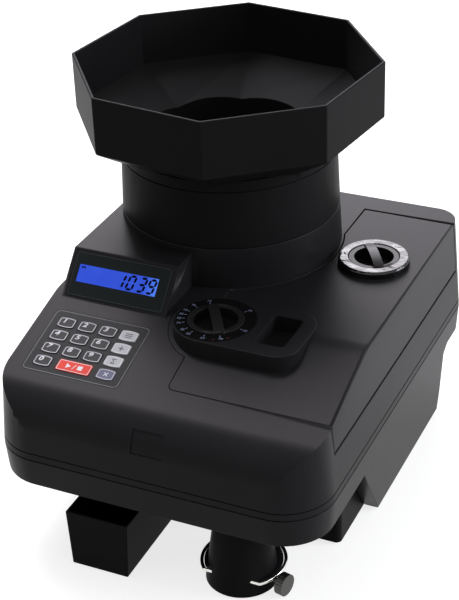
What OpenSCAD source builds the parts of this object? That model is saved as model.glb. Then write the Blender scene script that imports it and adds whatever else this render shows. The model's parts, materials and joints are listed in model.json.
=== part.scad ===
// Coin counting machine: hopper, turning disc, coin track under a hinged lid, outlet tube and reject tray.
// Millimetres. The neck axis is x = 0, y = 0 while modelling; +Y points to the back.
// Heights count from a plane a little above the table.
// The finished machine is shifted so that the origin lies under the middle of its bounding box.

/* [Body] */
// Width of the flat deck between the side walls
deck_w = 269; // [262:1:280]
// Distance from the neck axis to the middle of the body, to the right
body_mid_x = 37.7; // [34:0.1:41]
// Height of the flat deck above the table
deck_z = 173.8; // [170:0.1:180]
// Height of the seam between the upper housing and the tub
seam_z = 89; // [86:0.5:92]
// Height of the tub's underside
tub_z = 64.5; // [62:0.5:67]
// Distance from the neck axis to the front wall at the seam
front_y = 257; // [254:1:264]
// Distance from the neck axis to the rear wall at the seam
rear_y = 115; // [113:1:122]
// Corner radius of the body's front corners at the seam
front_r = 42; // [34:1:46]
// Corner radius of the body's rear corners at the seam
rear_r = 28; // [22:1:34]
// Wall thickness of the housing, the tub and the lid
wall = 3; // [2.4:0.1:3.4]
// Lean of the upper housing's walls
upper_draft = 4.4; // [3.5:0.1:5]
// Lean of the tub's walls and of the legs
tub_draft = 4; // [3:0.1:6]
// Distance from the neck axis to the bend where the deck starts to slope
bend_y = 134.4; // [131:0.1:136]
// Slope of the front deck
deck_slope = 16; // [14:0.5:17]
// Radius of the soft bend in the deck
bend_r = 60; // [20:1:90]
// Radius of the rounding between the sloped deck and the front wall
front_round_r = 36; // [28:1:40]
// Height of the open seam between the housing and the tub
seam_gap = 0.8; // [0.4:0.1:1.2]
// Height of the groove round the housing above the seam
groove_rise = 6; // [4:0.5:9]
// Width and depth of that groove
groove_size = 0.8; // [0.5:0.1:1.2]
// Height of the tub's inner lip behind the seam
lip_h = 4; // [2:0.5:6]

/* [Legs and base] */
// Height above the table of the plane that the heights count from
table_drop = 4; // [3:0.5:5]
// Gap between the table and the legs' and the base block's underside
leg_lift = 2; // [1:0.5:2.6]
// Distance from the body's side at the seam to the base block's side
base_inset = 19; // [17:0.5:21]
// Distance from the neck axis to the base block's front
base_front_y = 157; // [154:1:158]
// Distance from the neck axis to the base block's back
base_rear_y = 56; // [36:1:60]
// Wall thickness of the base block
base_wall = 3; // [2:0.5:4]
// Corner radius of the base block
base_r = 5; // [4:0.5:10]
// Radius of a rubber foot
foot_r = 9; // [6:0.5:11]
// Height of a rubber foot
foot_h = 3.5; // [3:0.5:6]
// Distance of each foot's centre from the base block's sides
foot_inset = 15; // [14:1:24]

/* [Hopper and neck] */
// Half of the hopper's width across two flat sides
hopper_flat = 120; // [112:1:124]
// Height of the hopper's upright sides
hopper_side_h = 48.6; // [40:0.2:60]
// Wall thickness of the hopper
hopper_wall = 2.6; // [2:0.1:3.5]
// Turn of the hopper on the neck
hopper_turn = -7; // [-12:1:0]
// Height of the joint between the hopper's collar and the neck
collar_z = 258.6; // [250:0.2:265]
// Height of the funnel floor between the sides and the collar
funnel_h = 25; // [20:1:30]
// Radius of the hole in the hopper's floor
throat_r = 74; // [66:1:76]
// Depth of the spigot under the hopper
spigot_h = 12; // [6:1:16]
// Radius of the neck at the deck
neck_base_r = 94.7; // [93.5:0.1:95.2]
// Radius of the neck at the seam halfway up
neck_seam_r = 93; // [92:0.1:93.4]
// Radius of the neck under the collar
neck_top_r = 91.1; // [90:0.1:91.8]
// Height of the seam halfway up the neck
neck_seam_z = 208.8; // [204:0.2:214]
// Inner radius of the sleeve that the coins fall through
sleeve_r = 83; // [81:0.1:84]
// Thickness of that sleeve
sleeve_wall = 2.7; // [2:0.1:2.9]

/* [Display and keypad] */
// Left side of the display pod, left of the neck axis
pod_left = 89.5; // [87:0.5:91]
// Right side of the display pod, right of the neck axis
pod_right = 6; // [4:0.5:6.5]
// Distance from the neck axis to the foot of the display face
pod_foot_y = 144.5; // [143:0.5:146]
// Height of the pod's flat top
pod_top_z = 202.6; // [200:0.2:206]
// Lean of the display face from level
pod_lean = 47.2; // [46:0.1:49]
// Wall thickness of the pod
pod_wall = 2.6; // [2:0.1:3]
// Width of the display window
window_w = 87.2; // [82:0.2:89]
// Height of the display window along the face
window_h = 37.5; // [34:0.1:38]
// Thickness of the display window
window_t = 1.6; // [1:0.1:1.8]
// Width of the lit display
lcd_w = 72; // [66:0.5:74]
// Height of the lit display along the face
lcd_h = 14.8; // [12:0.2:17]
// Distance from the foot of the display face to the middle of the lit display
lcd_v = 22.4; // [21:0.1:24]
// Distance of the lit display's middle from the neck axis, to the left
lcd_x = 44; // [42:0.5:46]
// Width of the keypad panel
panel_w = 85.6; // [85:0.2:87]
// Height of the keypad panel along the slope
panel_h = 66; // [65:0.5:68]
// Distance of the panel's middle from the neck axis, to the left
panel_x = 42.2; // [41.5:0.1:43]
// Distance of the panel's middle from the bend, down the slope
panel_v = 57; // [56:0.2:58]
// Thickness of the keypad panel
panel_t = 1.5; // [1:0.1:2]
// Width of a key
key_w = 14.8; // [13:0.1:15]
// Height of a key along the slope
key_h = 11; // [9:0.1:11.4]
// Width of the start and stop key
wide_key_w = 29.2; // [26:0.2:30]
// Sideways pitch of the keys
key_pitch_x = 18.7; // [18.4:0.1:19]
// Pitch of the key rows along the slope
key_pitch_v = 14.05; // [13.6:0.05:14.3]
// How far a key stands above the panel
key_rise = 0.6; // [0.5:0.1:1.2]
// Free travel of a key
key_travel = 0.5; // [0.3:0.1:0.6]
// How far the upper and lower edges of a key are crowned
key_crown = 1; // [0.5:0.1:1.4]

/* [Lid] */
// Height of the lid's lower edge on the right wall
lid_edge_z = 126.7; // [126:0.1:131]
// Distance from the neck axis to the lid's front seam
lid_front_y = 210.5; // [207:0.5:212]
// Distance from the neck axis to the lid's rear seam
lid_rear_y = 85; // [81:0.5:88]
// Distance from the neck axis to the lid's left seam, to the right
lid_left_x = 38.5; // [36:0.5:41]
// Distance from the neck axis to the lid's left seam behind the neck
lid_rear_x = 90.5; // [88:0.5:93]
// Distance from the neck's foot to the lid's seam round it
lid_neck_gap = 1.8; // [1.3:0.1:3.3]
// Corner radius of the lid
lid_r = 5; // [2:0.5:8]
// Width of the open seam round the lid
lid_gap = 0.5; // [0.4:0.1:0.8]
// Radius of the rolled lower edge that holds the hinge pin
nose_r = 2.2; // [2:0.1:2.6]
// Radius of the hinge pin
pin_r = 1; // [0.8:0.1:1.1]

/* [Knobs] */
// Diameter knob, right of the neck axis
dial_x = 48.8; // [47.5:0.2:50]
// Diameter knob, in front of the neck axis
dial_y = 140.5; // [139.5:0.1:141.5]
// Height of the dial pod's level top
dial_pod_z = 176.7; // [176:0.1:179]
// Radius of the dial pod's round end
dial_pod_r = 34.5; // [34:0.1:35]
// Gap between the dial pod's round end and the lid's seam
dial_margin = 4; // [2:0.5:4.4]
// Right side of the dial pod, right of the neck axis
dial_pod_right = 127; // [124:0.5:130]
// Corner radius of the dial pod's right end
dial_pod_corner = 19; // [12:0.5:24]
// Outer radius of the printed ring round the diameter knob
dial_scale_r = 32.5; // [30:0.1:33]
// Radius of the diameter knob
dial_knob_r = 23; // [21:0.1:24]
// Radius of the cup in the diameter knob
dial_cup_r = 18; // [15:0.1:19]
// Width of the finger recess
recess_w = 25; // [22:0.5:27]
// Length of the finger recess
recess_l = 43; // [38:0.5:46]
// Depth of the finger recess
recess_d = 14; // [10:0.5:15]
// Distance from the diameter knob to the finger recess's middle, to the right
recess_x = 53.2; // [52:0.2:56]
// Corner radius of the finger recess
recess_r = 4; // [2:0.5:6]
// Thickness knob, right of the neck axis
thick_x = 131; // [128:0.5:134]
// Thickness knob, in front of the neck axis
thick_y = 3.6; // [2:0.2:12]
// Outer radius of the raised ring round the thickness knob
thick_ring_r = 30; // [27:0.1:31]
// Height of that ring above the deck
thick_ring_h = 6; // [5:0.5:9]
// Radius of the thickness knob
thick_knob_r = 21; // [20:0.1:22]
// Radius of the cup in the thickness knob
thick_cup_r = 16.5; // [14:0.1:17]
// Depth of the cups
cup_d = 9; // [6:0.5:10]
// Width of the grip bars
bar_w = 8.2; // [6:0.2:10]
// Height of the grip bars above the knobs
bar_rise = 4; // [1:0.5:5]
// Radius of the arch along the top of the grip bars
bar_arch_r = 75; // [60:1:120]
// Turn of the grip bars from straight ahead towards the right
bar_turn = 32; // [0:1:60]
// Radius of the knob shafts
knob_shaft_r = 3; // [2.5:0.1:3.4]
// Radius of the pinion on the diameter knob's shaft
pinion_r = 4.5; // [4:0.1:5]

/* [Coin drive] */
// Depth of the track and of the disc's upper face below the deck
track_drop = 46.8; // [46:0.2:49]
// Thickness of the disc and of the track
track_t = 7; // [5:0.5:8]
// Radius of the disc
disc_r = 86; // [84:0.5:86.3]
// Thickness of the chassis plate
chassis_t = 3; // [2:0.5:4]
// Radius of the disc's shaft
shaft_r = 6; // [4:0.5:8]
// Radius of the disc's pulley
disc_pulley_r = 45; // [40:1:46]
// Radius of the motor's pulley
motor_pulley_r = 14; // [10:1:16]
// Height of both pulleys
pulley_h = 10; // [8:1:11]
// Clear height under the pulleys
pulley_lift = 2.5; // [1.5:0.5:4]
// Radius of the drive motor
motor_r = 29; // [25:1:32]
// Drive motor, left of the neck axis
motor_x = 30; // [26:1:34]
// Drive motor, in front of the neck axis
motor_y = 115; // [110:1:120]
// Thickness of both belts
belt_t = 1.5; // [1:0.1:1.8]
// Radius of the transport rollers
roller_r = 8; // [7:0.2:8.4]
// Transport track: distance from the neck axis to the middle of the belt, to the right
belt_x = 98; // [97:0.5:100]
// Width of the transport belt
belt_w = 14; // [10:0.5:14]
// Transport idler, in front of the neck axis
idler_y = 35; // [33:1:40]
// Transport drive roller, in front of the neck axis
roller_y = 172; // [166:1:174]

/* [Outlet and tray] */
// Outlet tube, right of the neck axis
tube_x = 101.5; // [100:0.5:104]
// Outlet tube, in front of the neck axis
tube_y = 219.5; // [217:0.5:221]
// Bore of the outlet tube
tube_bore_r = 17.5; // [16:0.1:18.2]
// Outer radius of the tube at the tub's underside
tube_top_r = 20.1; // [19.7:0.1:20.9]
// Outer radius of the tube at its lower rim
tube_rim_r = 29.4; // [29:0.1:30]
// Inner radius of the tube at its lower rim
tube_mouth_r = 26.8; // [26.2:0.1:27.2]
// Gap between the table and the tube's lower rim
tube_lift = 1.5; // [0.5:0.5:3]
// Radius of the ring's wire
wire_r = 1.5; // [1:0.1:1.8]
// Radius of the ring at the middle of its wire
ring_r = 33.3; // [32.8:0.1:34]
// Distance from the tube's axis back to the ring's centre
ring_back = 3; // [2.5:0.1:4]
// Height of the ring at the tube's axis
ring_z = 10.7; // [10.5:0.1:12]
// Half angle of the ring's open front
ring_open = 45; // [44:0.5:46]
// Height of the thumbscrew
screw_z = 6.5; // [6:0.1:6.6]
// Turn of the thumbscrew from the right towards the front
screw_turn = 13; // [10:1:18]
// Radius of the thumbscrew's head
screw_head_r = 9; // [7:0.5:9.5]
// Length of the thumbscrew's head
screw_head_l = 6.5; // [5:0.5:8]
// Radius of the thumbscrew's shank
screw_shank_r = 2; // [1.5:0.1:2.4]
// Middle of the reject tray, left of the neck axis
tray_x = 6.2; // [4:0.2:10]
// Width of the tray's rim
tray_w = 54.6; // [50:0.2:58]
// Width of the tray's floor
tray_floor_w = 49.8; // [46:0.2:52]
// Distance from the neck axis to the tray's front
tray_front_y = 258; // [257:0.5:264]
// Distance from the neck axis to the tray's back
tray_rear_y = 160; // [159:0.5:166]
// Height of the tray's rim
tray_top_z = 48; // [46:0.5:52]
// Wall thickness of the tray
tray_wall = 2; // [1.5:0.1:2.5]
// Length of the flanges that ride on the rails
flange_l = 65; // [60:1:68]

/* [Power and electronics] */
// Middle of the power inlet, left of the neck axis
inlet_x = 40; // [30:1:44]
// Height of the power inlet's middle
inlet_z = 141; // [139:0.5:146]
// Width of the inlet's flange
inlet_w = 62; // [60:1:66]
// Height of the inlet's flange
inlet_h = 32; // [30:1:34]

/* [Hidden] */
$fa = 4;
$fs = 0.6;

// Clearances
run_gap = 0.05;   // a shaft or pin that turns in its own bore
press_gap = 0.02; // a piece pressed on a shaft
fit_gap = 0.3;    // between pieces that move past each other
seat_gap = 0.2;   // between pieces that rest on each other
cut = 1;          // how far a cutting shape runs past what it cuts

// Body
seam_w = deck_w + 2 * tan(upper_draft) * (deck_z - seam_z);
front_ease = 0.05;
arc_steps = 24;
floor_z = tub_z + wall;
track_z = deck_z - track_drop;
chassis_z = track_z - track_t - chassis_t;
wall_in = wall + 1;
lip_root = 6;
lip_t = 2;
wall_left_at_seam = body_mid_x - seam_w / 2;
wall_right_at_seam = body_mid_x + seam_w / 2;

// Legs and base
leg_z = leg_lift - table_drop;
base_w = seam_w - 2 * base_inset;
leg_front_step = 10;
leg_toe_step = 56;
heel_low_h = 48.5;
heel_high_h = 6.5;
leg_front_y = base_front_y - leg_front_step;
leg_toe_y = base_front_y - leg_toe_step;
heel_low_z = tub_z - heel_low_h;
heel_high_z = tub_z - heel_high_h;
heel_lean = [2, 1, 9];

// Hopper and neck
oct = 180 / 8;
hopper_corner = hopper_flat / cos(oct);
hopper_side_z = collar_z + funnel_h + 5;
rim_z = hopper_side_z + hopper_side_h;
neck_bore_r = sleeve_r + sleeve_wall + fit_gap;
coin_gate = 3.2;
hub_r = 22;
funnel_inset = 2;
hub_h = 14;

// Origin under the middle of the bounding box
reach_left = hopper_corner * cos(oct - abs(hopper_turn));
mid_x = (wall_right_at_seam - reach_left) / 2;
mid_y = (reach_left - max(tray_front_y, front_y)) / 2;

// Display pod and keypad
pod_face_l = (pod_top_z - pod_foot_z()) / sin(pod_lean);
pod_back_y = 20;
window_x = -(pod_left - pod_right) / 2;
panel_rim = 2;
panel_rim_d = 6;
key_seat = 4.2;
key_stem_r = 2;
wide_key_r = 1.4;
key_gap = 0.25;
board_t = 1.6;
lcd_d = 5.4;
key_first_x = -panel_x - 1.5 * key_pitch_x;
key_first_v = panel_v - 1.45 * key_pitch_v;

// Lid and hinge
wall_right_at_hinge = body_mid_x + seam_w / 2 - tan(upper_draft) * (lid_edge_z + nose_r - seam_z);
nose_inset = 0.1;
lid_neck_r = neck_base_r + lid_neck_gap;
pod_skirt = 25;
hinge_x = wall_right_at_hinge - nose_r - nose_inset;
hinge_z = lid_edge_z + nose_r;
pin_end = 4;
dial = [dial_x, -dial_y];
thick = [thick_x, -thick_y];
recess = [dial_x + recess_x, -dial_y + 2];
well_wall = 2.6;
well_floor_t = 3;
dial_top = dial_pod_z + 1;
thick_top = deck_z + thick_ring_h - 0.6;
well_floor_z = deck_z - 10.8;
rack_z = track_z + 22;
pinion_z = rack_z - 1.5;
rack_h = 6;
rack_w = 5.5;
guide_x = 121;
guide_t = 4;
guide_reach = 24;
gate_reach = 7;
guide_front_y = 168;
guide_rear_y = 60;
scale_t = 1.2;
scale_sink = 1;

// Coin drive
pulley_z = floor_z + pulley_lift;
bearing_r = 18;
bearing_h = 27;
motor_z = pulley_z + pulley_h + 4;
motor_shaft_r = 3;
axle_r = 2;
axle_z = track_z + roller_r + belt_t + 1;
cheek_t = 2;
cheek_in = belt_w / 2 + 2;
cheek_h = 16;
motor_shaft_in = 6;
rail_left = 45;
rail_right = wall_right_at_seam - 12.7;
rail_rear_y = rear_y - 23;
rail_rim = 3;
rail_r = 30;
sensor_at = [120, -202];
sensor_box = [18, 16, 14];
sensor_slot = [10, 4, 5];
tube_axis = [tube_x, -tube_y];
tube_rim_z = tube_lift - table_drop;
tube_flare = (tube_mouth_r - tube_bore_r) / (tub_z - tube_rim_z);
tube_flange = 3;
ring_end = [ring_r * sin(ring_open), ring_back - ring_r * cos(ring_open)];
ring_pin_l = 8.3;
bag_collar_t = 2;
bag_collar_gap = 0.4;
bag_collar_front = 17;
screw_reach = 7.7;
stop_axis = [113, -178];
stop_pin_r = 2.5;
solenoid_r = 12;
solenoid_h = 28;
chassis_in = 11.5;
chassis_front_in = 11;
chassis_rear_in = 15;
chassis_r = 30;
post_in = 21.5;
post_front_in = 42;
post_rear_in = 27;
posts = [for (x = [wall_left_at_seam + post_in, wall_right_at_seam - post_in],
    y = [-front_y + post_front_in, rear_y - post_rear_in]) [x, y]];
post_hole_d = 14;
post_r = 5;
screw_r = 1.5;
screw_head = [3.5, 2.2];

// Tray and rails
flange_w = 3.4;
flange_t = 2;
flange_root = 1.2;
flange_z = tray_top_z - 4;
rail_t = 2;
rail_ledge = 2.6;

// Power inlet and rocker
socket_at = [-11, 0];
socket_w = 25;
socket_h = 17;
socket_d = 14;
rocker_at = [19, 0];
rocker_w = 10.4;
rocker_h = 21;
rocker_d = 12;
rocker_sink = 3;
rocker_tilt = 8;
rocker_pin_r = 1.5;
rocker_pin_l = 1.2;

// Main board and power supply
board_box = [42, 145, board_t];
board_corner = [wall_left_at_seam + 7.3, -75, floor_z + 7.5];
board_leg = [4, 3];
chip_at = [12, 30];
chip_box = [18, 18, 2.5];
plug_at = [8, 80];
plug_box = [10, 40, 9];
can_at = [20, 70];
can_r = 5;
can_h = 12;
supply_box = [88, 80, 40];
supply_margin = 28.7;
supply_corner = [wall_right_at_seam - supply_margin - supply_box[0], 2];

// Colours as the photo shows them
body_black = [0.17, 0.17, 0.18];
deep_black = [0.06, 0.06, 0.07];
key_black = [0.1, 0.1, 0.11];
key_grey = [0.72, 0.74, 0.76];
key_blue = [0.2, 0.22, 0.34];
key_red = [0.86, 0.26, 0.2];
lcd_blue = [0.18, 0.32, 0.9];
board_green = [0.1, 0.35, 0.2];
steel = [0.72, 0.72, 0.7];
alloy = [0.6, 0.61, 0.62];
rubber = [0.12, 0.12, 0.12];

// Height of the sloped deck at y, moved in by inset
function slope_at(y, inset) = deck_z + tan(deck_slope) * (y + bend_y) - inset / cos(deck_slope);
function pod_foot_z() = slope_at(-pod_foot_y, 0);
// Outline of the front wall at height z, moved in by inset
function front_at(z, inset) =
    tan(upper_draft) * (z - seam_z) + inset / cos(upper_draft) - front_y - front_ease;
// Bend between the flat deck and the slope
function bend_pt(inset) = [-bend_y + inset * (1 / cos(deck_slope) - 1) / tan(deck_slope), deck_z - inset];
// Corner between the slope and the front wall before it is rounded
function crown_z(inset) = slope_at(front_at(0, inset), inset) / (1 - tan(deck_slope) * tan(upper_draft));
function crown_pt(inset) = [front_at(crown_z(inset), inset), crown_z(inset)];
function unit(v) = v / norm(v);
// Points of an arc of radius r that rounds the corner b between a and c
function rounded(a, b, c, r) =
    let (u = unit(a - b), v = unit(c - b), half = acos(u * v) / 2, m = b + unit(u + v) * r / sin(half),
        start = b + u * r / tan(half) - m, end = b + v * r / tan(half) - m,
        turn = acos(unit(start) * unit(end)), way = sign(start[0] * end[1] - start[1] * end[0]))
    [for (i = [0 : arc_steps]) let (t = way * turn * i / arc_steps)
        m + [start[0] * cos(t) - start[1] * sin(t), start[0] * sin(t) + start[1] * cos(t)]];
// A length to the nearest hundredth, so that flat walls meet their round corners exactly
function snap(length) = round(length * 100) / 100;
// Lean of a wall at height z: the upper housing narrows upwards, the tub downwards
function lean_at(z, upper) = upper ? tan(upper_draft) * (z - seam_z) : tan(tub_draft) * (seam_z - z);
// Distance from the neck axis to the rear wall at height z
function rear_at(z) = rear_y - lean_at(z, true);

module in_frame() translate([-mid_x, -mid_y, table_drop]) children();

// An outline in x and z, drawn out along y from y0
module along_y(y0, length)
    translate([0, y0 + length, 0]) rotate([90, 0, 0]) linear_extrude(length) children();

// An outline in y and z, drawn out along x from x0
module along_x(x0, length) translate([x0, 0, 0]) rotate([90, 0, 90]) linear_extrude(length) children();

// A rectangle with round corners between two opposite corners
module round_rect(p, q, r) {
    translate([p[0] + r, p[1]])
        square([q[0] - p[0] - 2 * r, q[1] - p[1]]);
    translate([p[0], p[1] + r])
        square([q[0] - p[0], q[1] - p[1] - 2 * r]);
    for (x = [p[0] + r, q[0] - r], y = [p[1] + r, q[1] - r])
        translate([x, y])
            circle(r);
}

module centred_rect(w, h, r) round_rect([-w / 2, -h / 2], [w / 2, h / 2], r);

// The body's four leaning walls with round corners, between two heights, moved in by inset
// The corner radii grow by ease
module drafted_block(z0, z1, upper, inset, ease = 0) {
    h = z1 - z0;
    low = snap(lean_at(z0, upper));
    top = snap(lean_at(z1, upper));
    half = snap(seam_w / 2 - inset);
    front = snap(front_y - inset);
    rear = snap(rear_y - inset);
    fr = snap(front_r - inset + ease);
    rr = snap(rear_r - inset + ease);
    translate([body_mid_x, 0, z0]) {
        along_y(-(front - fr), front - fr + rear - rr)
            polygon([[-half + low, 0], [half - low, 0], [half - top, h], [-half + top, h]]);
        along_x(-(half - fr), 2 * (half - fr))
            polygon([[-front + low, 0], [0, 0], [0, h], [-front + top, h]]);
        along_x(-(half - rr), 2 * (half - rr))
            polygon([[0, 0], [rear - low, 0], [rear - top, h], [0, h]]);
        for (side = [-1, 1]) {
            translate([side * (half - fr), -(front - fr), 0])
                cylinder(h = h, r1 = fr - low, r2 = fr - top);
            translate([side * (half - rr), rear - rr, 0])
                cylinder(h = h, r1 = rr - low, r2 = rr - top);
        }
    }
}

// Upper body below the deck, the slope and the rounded front, moved in by inset
module upper_block(z0, inset) {
    back = [rear_y + cut, deck_z - inset];
    bend = bend_pt(inset);
    crown = crown_pt(inset);
    foot = [front_at(seam_z - wall_in, inset), seam_z - wall_in];
    intersection() {
        drafted_block(z0, deck_z + cut, true, inset);
        along_x(body_mid_x - seam_w, 2 * seam_w)
            polygon(concat([[rear_y + cut, seam_z - wall_in], back], rounded(back, bend, crown, bend_r),
                rounded(bend, crown, foot, front_round_r - inset), [foot]));
    }
}

module upper_shell(z0) {
    difference() {
        upper_block(z0, 0);
        upper_block(seam_z - cut, wall);
    }
}

// Plan of the lid; a positive gap makes it smaller
module lid_plan(gap) {
    right = wall_right_at_seam + lid_r;
    difference() {
        union() {
            round_rect([lid_left_x + gap, -lid_front_y + gap], [right, lid_rear_y - gap], lid_r);
            translate(dial)
                circle(dial_pod_r + dial_margin - gap);
        }
        circle(lid_neck_r + gap);
        translate([-front_y, 0])
            square([front_y + lid_rear_x + gap, front_y]);
    }
}

module lid_zone(gap, z0) translate([0, 0, z0]) linear_extrude(deck_z + cut - z0) lid_plan(gap);

// Frame on the sloped deck: x to the right, y up the slope, z out of it
module on_slope() translate([0, -bend_y, deck_z]) rotate([deck_slope, 0, 0]) children();

// Frame on the display face: x to the right, y up the face, z out of it
module on_face() translate([0, -pod_foot_y, pod_foot_z()]) rotate([pod_lean, 0, 0]) children();

// Frame on the rear wall at the inlet: x to the left seen from behind, z out of the wall
module on_rear()
    translate([-inlet_x, rear_at(inlet_z), inlet_z]) rotate([upper_draft - 90, 0, 0]) children();

// Outline of the display pod in y and z, moved in by inset
module pod_outline(inset) {
    dip = wall_in + (inset > 0 ? cut : 0);
    side = inset / sin(pod_lean);
    rise = pod_top_z - inset - pod_foot_z();
    foot = -pod_foot_y + side;
    polygon([[foot - dip / tan(pod_lean), pod_foot_z() - dip],
        [foot + rise / tan(pod_lean), pod_top_z - inset],
        [-pod_back_y, pod_top_z - inset], [-pod_back_y, pod_foot_z() - dip]]);
}

module pod_block() {
    difference() {
        along_x(-pod_left, pod_left + pod_right)
            pod_outline(0);
        upper_block(seam_z - cut, wall);
    }
}

module pod_hollow() {
    difference() {
        along_x(-pod_left + pod_wall, pod_left + pod_right - 2 * pod_wall)
            pod_outline(pod_wall);
        cylinder(h = pod_top_z, r = neck_base_r);
    }
}

// A thin groove round the upper housing
module body_groove(z, height) {
    difference() {
        translate([body_mid_x - seam_w, -2 * front_y, z])
            cube([2 * seam_w, 4 * front_y, height]);
        drafted_block(z - cut, z + height + cut, true, groove_size, groove_size);
    }
}

// Shape of the panel's recess, of the opening under it and of the window's seat
module panel_seat(grow, z0, h) {
    translate([-panel_x, -panel_v, z0])
        linear_extrude(h)
            centred_rect(panel_w + 2 * grow, panel_h + 2 * grow, 4 + grow);
}

module window_seat(grow, z0, h) {
    translate([window_x, pod_face_l / 2, z0])
        linear_extrude(h)
            centred_rect(window_w + 2 * grow, window_h + 2 * grow, 2.5 + grow);
}

// A tab under the deck that the lid's edge rests on: the seam is x = 0, the deck's face z = 0
module lid_rest() {
    tab_t = 3;
    tab_w = 12;
    hold = 8;
    reach = 5;
    translate([-hold, -tab_w / 2, -wall - tab_t])
        cube([hold - 1, tab_w, tab_t + 1]);
    translate([-hold, -tab_w / 2, -wall - tab_t])
        cube([hold + reach, tab_w, tab_t - seat_gap / 2]);
}

module top_housing() {
    window_lip = 2;
    panel_lip = panel_rim + seat_gap;
    color(body_black)
    difference() {
        union() {
            difference() {
                upper_shell(seam_z);
                lid_zone(0, lid_edge_z - fit_gap);
            }
            for (turn = [-15, -55])
                rotate([0, 0, turn])
                    translate([lid_neck_r, 0, deck_z])
                        lid_rest();
            on_slope()
                translate([lid_left_x + 22, -(lid_front_y - bend_y) / cos(deck_slope), 0])
                    rotate([0, 0, 90])
                        lid_rest();
            pod_block();
            translate([0, 0, deck_z - wall])
                cylinder(h = neck_seam_z - deck_z + wall, r1 = neck_base_r, r2 = neck_seam_r);
        }
        pod_hollow();
        translate([0, 0, deck_z - wall - cut])
            cylinder(h = neck_seam_z - deck_z + wall + 2 * cut, r = neck_bore_r);
        body_groove(seam_z - cut, seam_gap + cut);
        body_groove(seam_z + groove_rise, groove_size);
        on_slope() {
            panel_seat(seat_gap, -panel_t, panel_t + cut);
            panel_seat(seat_gap - panel_lip, -2 * wall, 2 * wall + cut);
        }
        on_face() {
            window_seat(seat_gap, -window_t, window_t + cut);
            window_seat(-window_lip, -2 * pod_wall, 2 * pod_wall + cut);
        }
        on_rear()
            translate([0, 0, -2 * wall])
                linear_extrude(3 * wall)
                    centred_rect(inlet_w - 8 + 2 * seat_gap, inlet_h - 6 + 2 * seat_gap, 1);
        translate([hinge_x, lid_rear_y + pin_end, hinge_z])
            rotate([90, 0, 0])
                cylinder(h = lid_front_y + lid_rear_y + 2 * pin_end, r = pin_r + run_gap);
    }
}

// Room of the two legs beside the base block
module leg_zone() {
    leg_edge = base_w / 2 + fit_gap;
    intersection() {
        along_x(body_mid_x - seam_w, 2 * seam_w)
            polygon([[-leg_front_y, floor_z], [-leg_front_y, tub_z], [-leg_toe_y, leg_z],
                [base_rear_y, leg_z], [base_rear_y + heel_lean[0], heel_low_z],
                [base_rear_y + heel_lean[1], heel_high_z], [base_rear_y + heel_lean[2], tub_z],
                [base_rear_y + heel_lean[2], floor_z]]);
        for (side = [-1, 1])
            translate([body_mid_x + side * (leg_edge + seam_w / 4), 0, 0])
                cube([seam_w / 2, 2 * front_y, 2 * floor_z], center = true);
    }
}

module lower_tub() {
    color(body_black)
    difference() {
        union() {
            difference() {
                intersection() {
                    drafted_block(leg_z, seam_z, false, 0);
                    union() {
                        translate([body_mid_x - seam_w, -2 * front_y, tub_z])
                            cube([2 * seam_w, 4 * front_y, seam_z]);
                        leg_zone();
                    }
                }
                drafted_block(floor_z, seam_z + cut, false, wall);
            }
            difference() {
                drafted_block(seam_z - lip_root, seam_z + lip_h, true, wall + seat_gap);
                drafted_block(seam_z - lip_root - cut, seam_z + lip_h + cut, true, wall + seat_gap + lip_t);
            }
            for (x = [board_leg[0], board_box[0] - board_leg[0]],
                y = [board_leg[0], board_box[1] - board_leg[0]])
                translate([board_corner[0] + x, board_corner[1] + y, floor_z - cut])
                    cylinder(h = board_corner[2] - floor_z + cut, r = board_leg[1]);
        }
        translate([tube_axis[0], tube_axis[1], tub_z - cut])
            cylinder(h = wall + 2 * cut, r = tube_top_r + seat_gap);
        for (p = posts)
            translate([p[0], p[1], tub_z - cut])
                cylinder(h = wall + 2 * cut, r = screw_r + seat_gap);
    }
}

module base_block() {
    low = [body_mid_x - base_w / 2, -base_front_y];
    high = [body_mid_x + base_w / 2, base_rear_y];
    color(body_black) {
        difference() {
            translate([0, 0, leg_z])
                linear_extrude(tub_z - leg_z)
                    round_rect(low, high, base_r);
            translate([0, 0, leg_z - cut])
                linear_extrude(tub_z - leg_z + cut - base_wall)
                    round_rect(low + [base_wall, base_wall], high - [base_wall, base_wall],
                        base_r - base_wall);
        }
        for (x = [low[0] + foot_inset, high[0] - foot_inset],
            y = [low[1] + foot_inset, high[1] - foot_inset])
            translate([x, y, foot_h - table_drop])
                cylinder(h = tub_z - base_wall - foot_h + table_drop + cut, r = foot_r + 1);
    }
}

module rubber_feet() {
    color(rubber)
    for (x = [-1, 1] * (base_w / 2 - foot_inset),
        y = [-base_front_y + foot_inset, base_rear_y - foot_inset])
        translate([body_mid_x + x, y, -table_drop])
            cylinder(h = foot_h, r = foot_r);
}

module tray_rails() {
    inner = tray_w / 2 + 1;
    outer = tray_w / 2 + flange_w + 0.8;
    top = flange_z - seat_gap;
    color(deep_black)
    for (side = [0, 1])
        translate([-tray_x, 0, 0])
            mirror([side, 0, 0])
                along_y(-tray_rear_y - flange_l, flange_l)
                    polygon([[inner, top - rail_ledge], [outer + rail_t, top - rail_ledge],
                        [outer + rail_t, tub_z], [outer, tub_z], [outer, top], [inner, top]]);
}

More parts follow.
